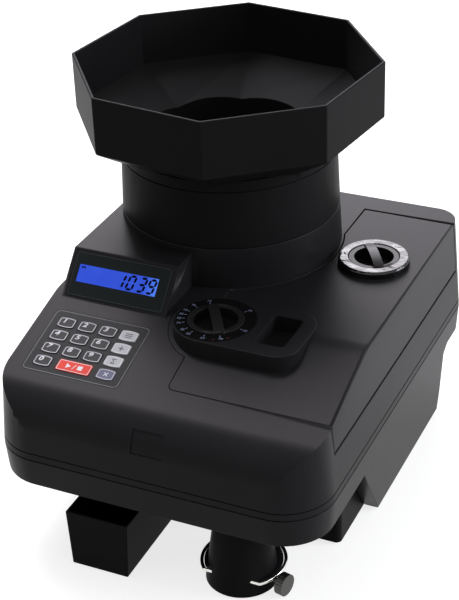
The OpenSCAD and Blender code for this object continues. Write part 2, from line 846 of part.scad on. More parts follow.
module reject_tray() {
    half = tray_w / 2;
    foot = tray_floor_w / 2;
    low = leg_z - 1;
    length = tray_front_y - tray_rear_y;
    slant = (half - foot) / (tray_top_z - low);
    color(deep_black)
    translate([-tray_x, 0, 0]) {
        difference() {
            along_y(-tray_front_y, length)
                polygon([[-foot, low], [foot, low], [half, tray_top_z], [-half, tray_top_z]]);
            along_y(-tray_front_y + tray_wall, length - 2 * tray_wall)
                polygon([[-foot + tray_wall, low + tray_wall], [foot - tray_wall, low + tray_wall],
                    [half - tray_wall + slant * cut, tray_top_z + cut],
                    [-half + tray_wall - slant * cut, tray_top_z + cut]]);
        }
        for (side = [-1, 1])
            translate([side * (half - flange_root + flange_w / 2), -tray_rear_y - flange_l / 2,
                flange_z + flange_t / 2])
                cube([flange_w + flange_root, flange_l, flange_t], center = true);
    }
}

module neck_ring() {
    foot = track_z + coin_gate;
    color(body_black)
    difference() {
        union() {
            translate([0, 0, neck_seam_z + groove_size])
                cylinder(h = collar_z - neck_seam_z - groove_size, r1 = neck_seam_r, r2 = neck_top_r);
            translate([0, 0, neck_seam_z])
                cylinder(h = groove_size + cut, r = neck_seam_r - groove_size);
            translate([0, 0, foot])
                cylinder(h = collar_z - foot, r = sleeve_r + sleeve_wall);
        }
        translate([0, 0, foot - cut])
            cylinder(h = collar_z - foot + 2 * cut, r = sleeve_r);
    }
}

// An eight-sided bowl between two heights, wider at the top, with its flats facing the axes
module octagon(z0, z1, flat0, flat1) {
    rotate([0, 0, oct])
        translate([0, 0, z0])
            cylinder(h = z1 - z0, r1 = flat0 / cos(oct), r2 = flat1 / cos(oct), $fn = 8);
}

module hopper() {
    inner = hopper_flat - hopper_wall;
    floor_rise = hopper_wall + 1;
    color(deep_black)
    rotate([0, 0, hopper_turn])
    difference() {
        union() {
            octagon(hopper_side_z, rim_z, hopper_flat, hopper_flat);
            octagon(hopper_side_z - funnel_h, hopper_side_z,
                neck_top_r * cos(oct) - funnel_inset, hopper_flat);
            translate([0, 0, collar_z + groove_size])
                cylinder(h = hopper_side_z - funnel_h - collar_z + 4, r = neck_top_r);
            translate([0, 0, collar_z + press_gap])
                cylinder(h = groove_size + cut, r = neck_top_r - groove_size);
            translate([0, 0, collar_z - spigot_h])
                cylinder(h = spigot_h + cut, r = sleeve_r - fit_gap);
        }
        octagon(hopper_side_z + floor_rise, rim_z + cut, inner, inner);
        octagon(hopper_side_z - funnel_h + floor_rise, hopper_side_z + floor_rise,
            throat_r * cos(oct) - funnel_inset, inner);
        rotate([0, 0, oct / 2])
            translate([0, 0, collar_z - spigot_h - cut])
                cylinder(h = hopper_side_z, r = throat_r);
    }
}

module display_window() {
    color(deep_black)
    on_face()
        window_seat(0, -window_t, window_t + seat_gap);
}

module lcd_module() {
    color(lcd_blue)
    on_face()
        translate([-lcd_x, lcd_v, -window_t - lcd_d])
            linear_extrude(lcd_d)
                centred_rect(lcd_w, lcd_h, 0.8);
}

module display_board() {
    back = window_t + lcd_d + board_t;
    color(board_green)
    on_face()
        translate([window_x, pod_face_l / 2, -back])
            linear_extrude(board_t)
                centred_rect(window_w - 4, window_h - 6, 1);
}

// Places of the keys on the slope: column 0 to 3 from the left, row 0 to 3 from the top
function key_at(column, row) =
    [key_first_x + column * key_pitch_x, -(key_first_v + row * key_pitch_v)];
function start_at() = (key_at(1, 3) + key_at(2, 3)) / 2;

// Outline of a key, grown by a gap: the wide key has round corners, the others have crowned edges
module key_plan(width, grow) {
    crown_r = (width * width / 4 + key_crown * key_crown) / (2 * key_crown);
    if (width > key_w)
        centred_rect(width + 2 * grow, key_h + 2 * grow, wide_key_r + grow);
    else
        intersection() {
            square([width + 2 * grow, key_h + 2 * grow], center = true);
            translate([0, key_h / 2 - crown_r])
                circle(crown_r + grow);
            translate([0, crown_r - key_h / 2])
                circle(crown_r + grow);
        }
}

module key_holes() {
    for (row = [0 : 3], column = row < 3 ? [0 : 3] : [0, 3])
        translate(key_at(column, row))
            key_plan(key_w, key_gap);
    translate(start_at())
        key_plan(wide_key_w, key_gap);
}

module keypad_panel() {
    color(key_black)
    on_slope()
        difference() {
            union() {
                panel_seat(0, -panel_t, panel_t);
                panel_seat(-panel_rim, -panel_rim_d, panel_rim_d);
            }
            panel_seat(-2 * panel_rim, -panel_rim_d - cut, panel_rim_d - panel_t + cut);
            translate([0, 0, -panel_rim_d])
                linear_extrude(2 * panel_rim_d)
                    key_holes();
        }
}

module keypad_board() {
    color(board_green)
    on_slope()
        panel_seat(-panel_rim, -panel_rim_d - board_t, board_t);
}

module key_cap(place, width, tint) {
    color(tint)
    on_slope()
        translate([place[0], place[1], 0]) {
            translate([0, 0, -key_seat])
                linear_extrude(key_seat + key_rise)
                    key_plan(width, 0);
            translate([0, 0, -panel_rim_d + key_travel + seat_gap])
                cylinder(h = panel_rim_d - key_travel - seat_gap, r = key_stem_r);
        }
}

module key_0() key_cap(key_at(0, 3), key_w, key_black);
module key_1() key_cap(key_at(0, 0), key_w, key_black);
module key_2() key_cap(key_at(1, 0), key_w, key_black);
module key_3() key_cap(key_at(2, 0), key_w, key_black);
module key_4() key_cap(key_at(0, 1), key_w, key_black);
module key_5() key_cap(key_at(1, 1), key_w, key_black);
module key_6() key_cap(key_at(2, 1), key_w, key_black);
module key_7() key_cap(key_at(0, 2), key_w, key_black);
module key_8() key_cap(key_at(1, 2), key_w, key_black);
module key_9() key_cap(key_at(2, 2), key_w, key_black);
module key_start_stop() key_cap(start_at(), wide_key_w, key_red);
module key_function_1() key_cap(key_at(3, 0), key_w, key_grey);
module key_function_2() key_cap(key_at(3, 1), key_w, key_grey);
module key_function_3() key_cap(key_at(3, 2), key_w, key_grey);
module key_function_4() key_cap(key_at(3, 3), key_w, key_blue);

// Plan of the dial pod: a round end about the knob and two round corners at the right, moved in by inset
module dial_pod_plan(inset) {
    r = dial_pod_r - inset;
    translate(dial) {
        circle(r);
        round_rect([0, -r], [dial_pod_right - dial_x - inset, r], dial_pod_corner - inset);
        translate([0, -r])
            square([dial_pod_corner, 2 * r]);
    }
}

// A cup under a knob: its outside, then its bores
module well_outside(at, r, top) {
    translate([at[0], at[1], well_floor_z - well_floor_t])
        cylinder(h = top - well_floor_z + well_floor_t, r = r + fit_gap + well_wall);
}

module well_inside(at, r, top) {
    translate([at[0], at[1], well_floor_z])
        cylinder(h = top - well_floor_z + cut, r = r + fit_gap);
    translate([at[0], at[1], well_floor_z - well_floor_t - cut])
        cylinder(h = well_floor_t + 2 * cut, r = knob_shaft_r + run_gap);
}

module recess_box(grow, z0, z1) {
    translate([recess[0], recess[1], z0])
        linear_extrude(z1 - z0)
            centred_rect(recess_w + 2 * grow, recess_l + 2 * grow, recess_r + grow);
}

module access_lid() {
    keeper_x = dial_x + dial_knob_r + fit_gap + well_wall + 2;
    keeper_y = -dial_y + pinion_r + fit_gap + rack_w + fit_gap;
    color(body_black)
    difference() {
        union() {
            intersection() {
                upper_shell(seam_z);
                lid_zone(lid_gap, hinge_z);
            }
            translate([hinge_x, lid_rear_y - lid_gap, hinge_z])
                rotate([90, 0, 0])
                    cylinder(h = lid_front_y + lid_rear_y - 2 * lid_gap, r = nose_r);
            difference() {
                translate([0, 0, deck_z - pod_skirt])
                    linear_extrude(dial_pod_z - deck_z + pod_skirt)
                        dial_pod_plan(0);
                upper_block(seam_z - cut, wall);
                translate([0, 0, deck_z - pod_skirt - cut])
                    linear_extrude(dial_pod_z - wall - deck_z + pod_skirt + cut)
                        dial_pod_plan(wall);
            }
            well_outside(dial, dial_knob_r, dial_pod_z - wall / 2);
            well_outside(thick, thick_knob_r, deck_z - wall / 2);
            recess_box(wall, dial_pod_z - recess_d - wall, dial_pod_z - wall / 2);
            translate([keeper_x, keeper_y, rack_z - fit_gap - 2])
                cube([6, 3, dial_pod_z - rack_z]);
            translate([keeper_x, keeper_y - rack_w, rack_z - fit_gap - 2])
                cube([6, rack_w + 1, 2]);
        }
        well_inside(dial, dial_knob_r, dial_pod_z);
        well_inside(thick, thick_knob_r, deck_z);
        recess_box(0, dial_pod_z - recess_d, dial_pod_z + cut);
        translate([dial[0], dial[1], dial_pod_z - scale_sink])
            cylinder(h = scale_sink + cut, r = dial_scale_r + seat_gap);
        translate([hinge_x, lid_rear_y, hinge_z])
            rotate([90, 0, 0])
                cylinder(h = lid_front_y + lid_rear_y, r = pin_r + run_gap);
    }
}

module lid_hinge_pin() {
    color(steel)
    translate([hinge_x, lid_rear_y + pin_end - seat_gap, hinge_z])
        rotate([90, 0, 0])
            cylinder(h = lid_front_y + lid_rear_y + 2 * (pin_end - seat_gap), r = pin_r);
}

// A turning knob with a cup, a grip bar across it and a shaft
module knob(at, r, cup_r, top, shaft_z) {
    foot = well_floor_z + fit_gap;
    translate([at[0], at[1], 0]) {
        difference() {
            translate([0, 0, foot])
                cylinder(h = top - foot, r = r);
            translate([0, 0, top - cup_d])
                cylinder(h = cup_d + cut, r = cup_r);
        }
        intersection() {
            rotate([0, 0, bar_turn])
                translate([-bar_w / 2, -r, foot + 1])
                    cube([bar_w, 2 * r, top + bar_rise - foot]);
            cylinder(h = 2 * top, r = r);
            rotate([0, 0, bar_turn])
                translate([0, 0, top + bar_rise - bar_arch_r])
                    rotate([0, 90, 0])
                        cylinder(h = 2 * bar_w, r = bar_arch_r, center = true);
        }
        translate([0, 0, shaft_z])
            cylinder(h = foot - shaft_z + 1, r = knob_shaft_r);
    }
}

module diameter_knob() {
    color(deep_black) {
        knob(dial, dial_knob_r, dial_cup_r, dial_top, pinion_z);
        translate([dial[0], dial[1], pinion_z])
            cylinder(h = rack_h + 3, r = pinion_r);
    }
}

module diameter_scale() {
    color(deep_black)
    translate([dial[0], dial[1], dial_pod_z - scale_sink])
        difference() {
            cylinder(h = scale_t, r = dial_scale_r);
            translate([0, 0, -cut])
                cylinder(h = scale_t + 2 * cut, r = dial_knob_r + 2 * fit_gap);
        }
}

module diameter_guide() {
    left = dial_x - guide_reach;
    rack_y = -dial_y + pinion_r + fit_gap;
    foot = track_z + 1.5;
    color(alloy) {
        translate([left, rack_y, rack_z])
            cube([guide_x + guide_t - left, rack_w, rack_h]);
        translate([guide_x, -guide_front_y, foot])
            cube([guide_t, guide_front_y - guide_rear_y, rack_z + rack_h - foot]);
    }
}

module thickness_knob() color(deep_black) knob(thick, thick_knob_r, thick_cup_r, thick_top, rack_z - 6);

module thickness_scale() {
    bevel = 1.5;
    color(deep_black)
    translate([thick[0], thick[1], deck_z])
        difference() {
            union() {
                cylinder(h = thick_ring_h - bevel, r = thick_ring_r);
                translate([0, 0, thick_ring_h - bevel])
                    cylinder(h = bevel, r1 = thick_ring_r, r2 = thick_ring_r - bevel);
            }
            translate([0, 0, -cut])
                cylinder(h = thick_ring_h + 2 * cut, r = thick_knob_r + 2 * fit_gap);
        }
}

module thickness_gate() {
    blade_x = 97;
    blade_t = 4;
    blade_w = 14;
    arm_t = 3;
    foot = track_z + coin_gate;
    color(alloy)
    difference() {
        union() {
            translate([blade_x, thick[1] - blade_w / 2, rack_z])
                cube([thick_x + gate_reach - blade_x, blade_w, arm_t]);
            translate([blade_x, thick[1] - blade_w / 2, foot])
                cube([blade_t, blade_w, rack_z - foot + arm_t]);
        }
        translate([thick[0], thick[1], rack_z - cut])
            cylinder(h = arm_t + 2 * cut, r = knob_shaft_r + run_gap);
    }
}

module coin_disc() {
    ribs = 3;
    color(alloy)
    difference() {
        union() {
            translate([0, 0, track_z - track_t + 1])
                cylinder(h = track_t - 1, r = disc_r);
            translate([0, 0, track_z])
                cylinder(h = hub_h, r1 = hub_r, r2 = 7);
            for (i = [0 : ribs - 1])
                rotate([0, 0, 360 / ribs * i])
                    translate([hub_r - 4, -2, track_z - 1])
                        cube([sleeve_r - hub_r - 6, 4, 3]);
        }
        translate([0, 0, track_z - track_t])
            cylinder(h = track_t + hub_h - 4, r = shaft_r + press_gap);
    }
}

module disc_shaft() {
    color(steel)
    translate([0, 0, pulley_z - 1])
        cylinder(h = track_z + hub_h - 5 - pulley_z, r = shaft_r);
}

module disc_bearing() {
    flange_t = 4;
    color(steel)
    difference() {
        union() {
            translate([0, 0, chassis_z + chassis_t - seat_gap - bearing_h])
                cylinder(h = bearing_h, r = bearing_r);
            translate([0, 0, chassis_z - flange_t])
                cylinder(h = flange_t, r = bearing_r + 8);
        }
        translate([0, 0, chassis_z - bearing_h])
            cylinder(h = 2 * bearing_h, r = shaft_r + run_gap);
    }
}

// A grooved pulley on a bore
module pulley(r, bore_r) {
    lip = 1;
    difference() {
        union() {
            cylinder(h = pulley_h, r = r);
            cylinder(h = lip, r = r + belt_t);
            translate([0, 0, pulley_h - lip])
                cylinder(h = lip, r = r + belt_t);
        }
        translate([0, 0, -cut])
            cylinder(h = pulley_h + 2 * cut, r = bore_r);
    }
}

module disc_pulley() {
    color(alloy)
    translate([0, 0, pulley_z])
        pulley(disc_pulley_r, shaft_r + press_gap);
}

module drive_motor() {
    color(steel)
    translate([-motor_x, -motor_y, motor_z])
        difference() {
            cylinder(h = chassis_z - motor_z, r = motor_r);
            translate([0, 0, -cut])
                cylinder(h = motor_shaft_in + 2 + cut, r = motor_shaft_r + run_gap);
        }
}

module motor_pulley() {
    color(steel)
    translate([-motor_x, -motor_y, pulley_z]) {
        pulley(motor_pulley_r, motor_shaft_r);
        cylinder(h = motor_z - pulley_z + motor_shaft_in, r = motor_shaft_r);
    }
}

// Outline of a belt round two pulleys, at a distance from their rims
module belt_loop(p, r0, q, r1, off) {
    hull() {
        translate(p)
            circle(r0 + off, $fn = 72);
        translate(q)
            circle(r1 + off, $fn = 72);
    }
}

module drive_belt() {
    motor = [-motor_x, -motor_y];
    color(rubber)
    translate([0, 0, pulley_z + 2])
        linear_extrude(pulley_h - 4)
            difference() {
                belt_loop([0, 0], disc_pulley_r, motor, motor_pulley_r, fit_gap + belt_t);
                belt_loop([0, 0], disc_pulley_r, motor, motor_pulley_r, fit_gap);
            }
}

module coin_rail() {
    base = track_z - track_t;
    color(alloy)
    difference() {
        union() {
            translate([0, 0, base])
                linear_extrude(track_t)
                    difference() {
                        round_rect([rail_left, -tube_y - tube_bore_r - rail_rim],
                            [rail_right, rail_rear_y], rail_r);
                        circle(disc_r + 0.5);
                    }
            for (x = [belt_x - cheek_in - cheek_t, belt_x + cheek_in])
                translate([x, -roller_y - 12, track_z - 1])
                    cube([cheek_t, roller_y - idler_y + 24, cheek_h + 1]);
        }
        translate([tube_axis[0], tube_axis[1], base - cut])
            cylinder(h = track_t + 2 * cut, r = tube_bore_r);
        translate([stop_axis[0], stop_axis[1], base - cut])
            cylinder(h = track_t + 2 * cut, r = stop_pin_r + fit_gap);
        for (y = [-idler_y, -roller_y])
            translate([belt_x - cheek_in - 2 * cheek_t, y, axle_z])
                rotate([0, 90, 0])
                    cylinder(h = 2 * cheek_in + 4 * cheek_t, r = axle_r + run_gap);
    }
}

module transport_belt() {
    color(rubber)
    along_x(belt_x - belt_w / 2, belt_w)
        difference() {
            belt_loop([-idler_y, axle_z], roller_r, [-roller_y, axle_z], roller_r, fit_gap + belt_t - 0.5);
            belt_loop([-idler_y, axle_z], roller_r, [-roller_y, axle_z], roller_r, fit_gap);
        }
}

module roller(y) {
    half = cheek_in - fit_gap;
    end = cheek_in + cheek_t + 0.5;
    color(steel)
    translate([belt_x, y, axle_z])
        rotate([0, 90, 0]) {
            translate([0, 0, -half])
                cylinder(h = 2 * half, r = roller_r);
            translate([0, 0, -end])
                cylinder(h = 2 * end, r = axle_r);
        }
}

module transport_drive_roller() roller(-roller_y);

module transport_idler() roller(-idler_y);

module count_sensor() {
    color(deep_black)
    difference() {
        translate([sensor_at[0], sensor_at[1], track_z])
            cube(sensor_box);
        translate([sensor_at[0] - cut, sensor_at[1] - cut, track_z + sensor_slot[1]])
            cube([sensor_slot[0] + cut, sensor_box[1] + 2 * cut, sensor_slot[2]]);
    }
}

module stop_solenoid() {
    color(steel)
    translate([stop_axis[0], stop_axis[1], chassis_z - solenoid_h])
        difference() {
            cylinder(h = solenoid_h, r = solenoid_r);
            translate([0, 0, 4])
                cylinder(h = solenoid_h, r = stop_pin_r + run_gap);
        }
}

module stop_pin() {
    foot = chassis_z - solenoid_h + 4 + seat_gap;
    color(steel)
    translate([stop_axis[0], stop_axis[1], foot])
        cylinder(h = track_z - 0.5 - foot, r = stop_pin_r);
}

module outlet_tube() {
    top = chassis_z + chassis_t - seat_gap;
    color(deep_black)
    translate([tube_axis[0], tube_axis[1], 0])
        difference() {
            union() {
                translate([0, 0, tub_z])
                    cylinder(h = top - tub_z, r = tube_top_r);
                translate([0, 0, tube_rim_z])
                    cylinder(h = tub_z - tube_rim_z, r1 = tube_rim_r, r2 = tube_top_r);
                translate([0, 0, floor_z])
                    cylinder(h = wall, r = tube_top_r + tube_flange);
                bag_collar();
            }
            translate([0, 0, tub_z - cut])
                cylinder(h = top - tub_z + 2 * cut, r = tube_bore_r);
            translate([0, 0, tube_rim_z - cut])
                cylinder(h = tub_z - tube_rim_z + cut, r1 = tube_mouth_r + tube_flare * cut,
                    r2 = tube_bore_r);
            translate([0, ring_end[1], ring_z])
                rotate([0, 90, 0])
                    cylinder(h = 2 * ring_end[0], r = wire_r + run_gap, center = true);
            translate([0, 0, screw_z])
                rotate([0, 90, -screw_turn])
                    translate([0, 0, tube_bore_r])
                        cylinder(h = tube_rim_r, r = screw_shank_r + run_gap);
        }
}

// A thin shelf behind the tube that the bag's mouth hangs over, inside the wire ring
module bag_collar() {
    reach = ring_r - wire_r - bag_collar_gap;
    intersection() {
        translate([0, ring_back, ring_z - bag_collar_t / 2])
            cylinder(h = bag_collar_t, r = reach);
        translate([-2 * reach, -bag_collar_front, ring_z - bag_collar_t])
            cube([4 * reach, 3 * reach, 2 * bag_collar_t]);
    }
}

// A wire ring, open at the front, that swings on its two bent ends
module bag_ring() {
    color(steel)
    translate([tube_axis[0], tube_axis[1], ring_z]) {
        translate([0, ring_back, 0])
            rotate([0, 0, -90 + ring_open])
                rotate_extrude(angle = 360 - 2 * ring_open)
                    translate([ring_r, 0])
                        circle(wire_r);
        for (side = [-1, 1])
            translate([side * ring_end[0], ring_end[1], 0]) {
                sphere(wire_r);
                rotate([0, -90 * side, 0])
                    cylinder(h = ring_pin_l, r = wire_r);
            }
    }
}

module thumbscrew() {
    knurls = 24;
    head_x = tube_rim_r + screw_reach;
    tip_x = tube_mouth_r - 0.6;
    color(steel)
    translate([tube_axis[0], tube_axis[1], screw_z])
        rotate([0, 90, -screw_turn]) {
            translate([0, 0, tip_x])
                cylinder(h = head_x - tip_x + 0.5, r = screw_shank_r);
            translate([0, 0, head_x])
                linear_extrude(screw_head_l)
                    difference() {
                        circle(screw_head_r);
                        for (i = [0 : knurls - 1])
                            rotate(360 / knurls * i)
                                translate([screw_head_r, 0])
                                    circle(0.45, $fn = 6);
                    }
        }
}

module chassis_plate() {
    low = [wall_left_at_seam + chassis_in, -front_y + chassis_front_in];
    high = [wall_right_at_seam - chassis_in, rear_y - chassis_rear_in];
    color(steel)
    difference() {
        union() {
            translate([0, 0, chassis_z])
                linear_extrude(chassis_t)
                    round_rect(low, high, chassis_r);
            for (p = posts)
                translate([p[0], p[1], floor_z])
                    cylinder(h = chassis_z - floor_z + cut, r = post_r);
        }
        translate([0, 0, chassis_z - cut])
            cylinder(h = chassis_t + 2 * cut, r = bearing_r + seat_gap);
        translate([tube_axis[0], tube_axis[1], chassis_z - cut])
            cylinder(h = chassis_t + 2 * cut, r = tube_top_r + seat_gap);
        translate([stop_axis[0], stop_axis[1], chassis_z - cut])
            cylinder(h = chassis_t + 2 * cut, r = stop_pin_r + fit_gap);
        for (p = posts)
            translate([p[0], p[1], floor_z - cut])
                cylinder(h = post_hole_d + cut, r = screw_r + run_gap);
    }
}

module housing_screws() {
    color(steel)
    for (p = posts)
        translate([p[0], p[1], tub_z]) {
            translate([0, 0, -screw_head[1]])
                cylinder(h = screw_head[1], r = screw_head[0]);
            translate([0, 0, -1])
                cylinder(h = wall + post_hole_d, r = screw_r);
        }
}

module main_board() {
    color(board_green)
    translate(board_corner) {
        cube(board_box);
        translate([chip_at[0], chip_at[1], board_t])
            cube(chip_box);
        translate([plug_at[0], plug_at[1], board_t])
            cube(plug_box);
        translate([can_at[0], can_at[1], board_t])
            cylinder(h = can_h, r = can_r);
    }
}

module power_supply() {
    color(steel)
    translate([supply_corner[0], supply_corner[1], floor_z])
        cube(supply_box);
}

module power_inlet() {
    depth = 20;
    flange_t = 2;
    color(deep_black)
    on_rear()
        difference() {
            union() {
                translate([0, 0, press_gap])
                    linear_extrude(flange_t)
                        centred_rect(inlet_w, inlet_h, 2);
                translate([0, 0, -depth])
                    linear_extrude(depth + 1)
                        centred_rect(inlet_w - 8, inlet_h - 6, 1);
            }
            translate([socket_at[0], socket_at[1], -socket_d])
                linear_extrude(socket_d + flange_t + cut)
                    centred_rect(socket_w, socket_h, 2);
            translate([rocker_at[0], rocker_at[1], -rocker_d])
                linear_extrude(rocker_d + flange_t + cut)
                    centred_rect(rocker_w + 2 * fit_gap, rocker_h, 0.6);
            translate([rocker_at[0], rocker_at[1], -rocker_sink])
                rotate([0, 90, 0])
                    cylinder(h = rocker_w + 2 * rocker_pin_l + 2 * fit_gap,
                        r = rocker_pin_r + run_gap, center = true);
        }
}

// The rocker lies pressed at its lower end and turns about two short pins to the other end
module power_switch() {
    color(deep_black)
    on_rear()
        translate([rocker_at[0], rocker_at[1], -rocker_sink])
            rotate([rocker_tilt, 0, 0]) {
                along_x(-rocker_w / 2, rocker_w)
                    polygon([[-9, 6.2], [0, 5.2], [9, 6.2], [9.3, 1], [4, -4], [-4, -4], [-9.3, 1]]);
                rotate([0, 90, 0])
                    cylinder(h = rocker_w + 2 * rocker_pin_l, r = rocker_pin_r, center = true);
            }
}

in_frame() lower_tub();
in_frame() base_block();
in_frame() rubber_feet();
in_frame() tray_rails();
in_frame() top_housing();
in_frame() neck_ring();
in_frame() display_window();
in_frame() lcd_module();
in_frame() display_board();
in_frame() keypad_panel();
in_frame() keypad_board();
in_frame() key_0();
in_frame() key_1();
in_frame() key_2();
in_frame() key_3();
in_frame() key_4();
in_frame() key_5();
in_frame() key_6();
in_frame() key_7();
in_frame() key_8();
in_frame() key_9();
in_frame() key_start_stop();
in_frame() key_function_1();
in_frame() key_function_2();
in_frame() key_function_3();
in_frame() key_function_4();
in_frame() access_lid();
in_frame() lid_hinge_pin();
in_frame() hopper();
in_frame() diameter_knob();
in_frame() diameter_scale();
in_frame() diameter_guide();
in_frame() thickness_knob();
in_frame() thickness_scale();
in_frame() thickness_gate();
in_frame() coin_disc();
in_frame() disc_shaft();
in_frame() disc_bearing();
in_frame() disc_pulley();
in_frame() drive_motor();
in_frame() motor_pulley();
in_frame() drive_belt();
in_frame() coin_rail();
in_frame() transport_belt();
in_frame() transport_drive_roller();
in_frame() transport_idler();
in_frame() count_sensor();
in_frame() stop_solenoid();
in_frame() stop_pin();
in_frame() reject_tray();
in_frame() outlet_tube();
in_frame() bag_ring();
in_frame() thumbscrew();
in_frame() chassis_plate();
in_frame() main_board();
in_frame() power_supply();
in_frame() power_inlet();
in_frame() power_switch();
in_frame() housing_screws();
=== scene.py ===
"""Looks of a coin counting machine: covers, octagonal hopper, lit display, keypad, dials and outlet.

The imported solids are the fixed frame. Each operator dresses one group of pieces, and the stage operator
adds the floor, the lamps and the camera. Lengths are in metres in the frame of the solids.
"""

import json
import math

import bmesh
import bpy
from bpy.props import FloatProperty, FloatVectorProperty, PointerProperty
from mathutils import Matrix, Vector


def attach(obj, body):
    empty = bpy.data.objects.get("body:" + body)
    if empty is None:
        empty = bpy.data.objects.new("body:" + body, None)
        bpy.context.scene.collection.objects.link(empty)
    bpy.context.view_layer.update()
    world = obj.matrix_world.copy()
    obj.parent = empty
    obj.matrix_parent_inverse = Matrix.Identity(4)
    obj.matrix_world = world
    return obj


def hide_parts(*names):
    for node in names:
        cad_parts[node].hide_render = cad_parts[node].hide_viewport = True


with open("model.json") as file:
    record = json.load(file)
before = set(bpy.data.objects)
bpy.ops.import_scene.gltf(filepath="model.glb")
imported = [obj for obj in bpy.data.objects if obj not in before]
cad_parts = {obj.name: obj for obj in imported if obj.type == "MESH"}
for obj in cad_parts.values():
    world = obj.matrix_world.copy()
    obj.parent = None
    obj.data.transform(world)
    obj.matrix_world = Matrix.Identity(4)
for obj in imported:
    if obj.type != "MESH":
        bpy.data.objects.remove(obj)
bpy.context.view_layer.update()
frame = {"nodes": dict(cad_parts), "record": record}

bl_info = {
    "name": "Coin counting machine",
    "version": (1, 0, 0),
    "blender": (4, 5, 0),
    "location": "3D View > Sidebar > Counter",
    "description": "Dresses the solids of a coin counting machine",
    "category": "Object",
}

NODES = frame["nodes"]
BODY_OF = {node: body for body, nodes in frame["record"]["behaviour"]["bodies"].items() for node in nodes}
SLOT_OF = {row["node"]: row["material_slot"] for row in frame["record"]["subparts"]}

MM = 0.001
# The solids were drawn about the neck's axis and then centred on their bounding box
NECK_X = -26.781
NECK_Y = 66.418
TABLE_DROP = 4.0


def spot(x, y, z=0.0):
    """A place given in millimetres from the neck's axis and the plane of the tray's floor."""
    return Vector((x + NECK_X, y + NECK_Y, z + TABLE_DROP)) * MM


# The sloped front deck, the display face and the rear wall: x to the machine's right and z out of the face.
# On the deck and the display y runs up the face, and on the rear wall it runs down
SLOPE_TILT = math.radians(16)
SLOPE = Matrix.Translation(spot(0, -134.4, 173.8)) @ Matrix.Rotation(SLOPE_TILT, 4, "X")
FACE_TILT = math.radians(47.2)
FACE = Matrix.Translation(spot(0, -144.5, 170.904)) @ Matrix.Rotation(FACE_TILT, 4, "X")
WALL_TILT = math.radians(4.4)
REAR = (
    Matrix.Translation(spot(-40, 111.0, 141))
    @ Matrix.Rotation(WALL_TILT - math.pi / 2, 4, "X")
)

# Keypad: columns from the left and rows down the slope, in millimetres, with the widths of lines in metres
KEY_COLUMNS = (-70.25, -51.55, -32.85, -14.15)
KEY_ROWS = (36.63, 50.68, 64.73, 78.78)
KEY_RISE = 0.6
KEY_OUTLINE = (13.9, 8.1)
KEY_CROWN = 0.98
KEY_CORNER = 1.0
KEY_DIGIT_SHIFT = (-2.5, 1.4)
START_OUTLINE = (28.2, 10.0)
START_CORNER = 1.4
PANEL_AT = (-42.2, -57.0)
PANEL_SIZE = (85.6, 66.0)
PANEL_CORNER = 4.0
PANEL_INSET = 1.0
PANEL_LINE = 0.0007
START_LINE = 0.0005

# Signs on the keys, in millimetres: stroke widths, half lengths, and the parts of the start and stop sign
SIGN_STROKE = 0.7
LIST_ROWS = (-1.8, 0.0, 1.8)
LIST_LENGTH = 6.0
PLUS_HALF = 2.4
PLUS_STROKE = 0.8
SUM_CORNERS = ((1.9, 2.2), (-1.9, 2.2), (0.4, 0.0), (-1.9, -2.2), (1.9, -2.2))
CROSS_HALF = 1.7
START_TRIANGLE = ((-2.0, -2.4), (2.2, 0.0), (-2.0, 2.4))
START_TRIANGLE_X = -5.0
START_SLASH = (-1.0, -2.6, 1.0, 2.6, 0.6)
STOP_SQUARE = 4.2
STOP_SQUARE_X = 5.2

# Square recess in the rounded front: two corners, depth, and the plane that the front's faces lie before
RECESS_LOW = spot(27.5, 0, 118.0)
RECESS_HIGH = spot(54.0, 0, 135.6)
RECESS_DEPTH = 0.0010
FRONT_Y = spot(0, -220).y
# Highest y of the normals of the front's faces
FRONT_FACING = -0.3

# Rounding: share of the room beside an edge that it may take, radius under which an edge stays sharp,
# and angle above which two edges that meet are one line
ROOM_SHARE = 0.35
LEAST_ROUNDING = 0.00012
LINE_ANGLE = math.radians(140)
# Least bend in degrees at an edge that is rounded; the hopper's sides meet more gently
HARD_ANGLE = 32.0
HOPPER_ANGLE = 18.0
# Steps in the crown and in the corners of a printed plate
CROWN_STEPS = 10
CORNER_STEPS = 4
# Height of a digit as a share of its font's size
DIGIT_SHARE = 0.72

# Corners closer than this are one, and triangles within this angle are one flat face
WELD = 2e-6
FLAT_ANGLE = math.radians(0.3)

# The lid's deck edge lies right of this side and above this height, between an upward and a sideways face
DECK_RIGHT = 0.143
DECK_LOW = 0.148
UPWARD = 0.8
SIDEWAYS = 0.9

# Radii for thin pieces, in metres
FINE_EDGE = 0.0002
WINDOW_EDGE = 0.0003
WIRE_EDGE = 0.0001

# Display: window, lit screen, digits with their left ends, and a small sign, in millimetres on its face,
# with the line's width and the lift off the face in metres
WINDOW_AT = (-41.75, 21.6)
WINDOW_SIZE = (87.2, 37.5)
WINDOW_INSET = 1.2
WINDOW_CORNER = 2.2
WINDOW_LINE = 0.0004
SCREEN_AT = (-44.0, 22.4)
SCREEN_SIZE = (72.0, 14.8)
SCREEN_CORNER = 0.3
SCREEN_RIGHT = -8.0
SCREEN_GLOW = 12.0
SCREEN_LIFT = 0.0002
DISPLAY_DIGITS = (("1", -44.4), ("0", -35.0), ("3", -25.2), ("9", -16.7))
DISPLAY_DIGIT_SIZE = (5.3, 11.2)
DISPLAY_STROKE = 2.0
DISPLAY_GAP = 0.28
DISPLAY_SLANT = 0.2
DISPLAY_SIGN = (-77.6, -76.2, -74.8)
DISPLAY_SIGN_SIZE = (1.0, 1.7)
DISPLAY_SIGN_RISE = 5.2

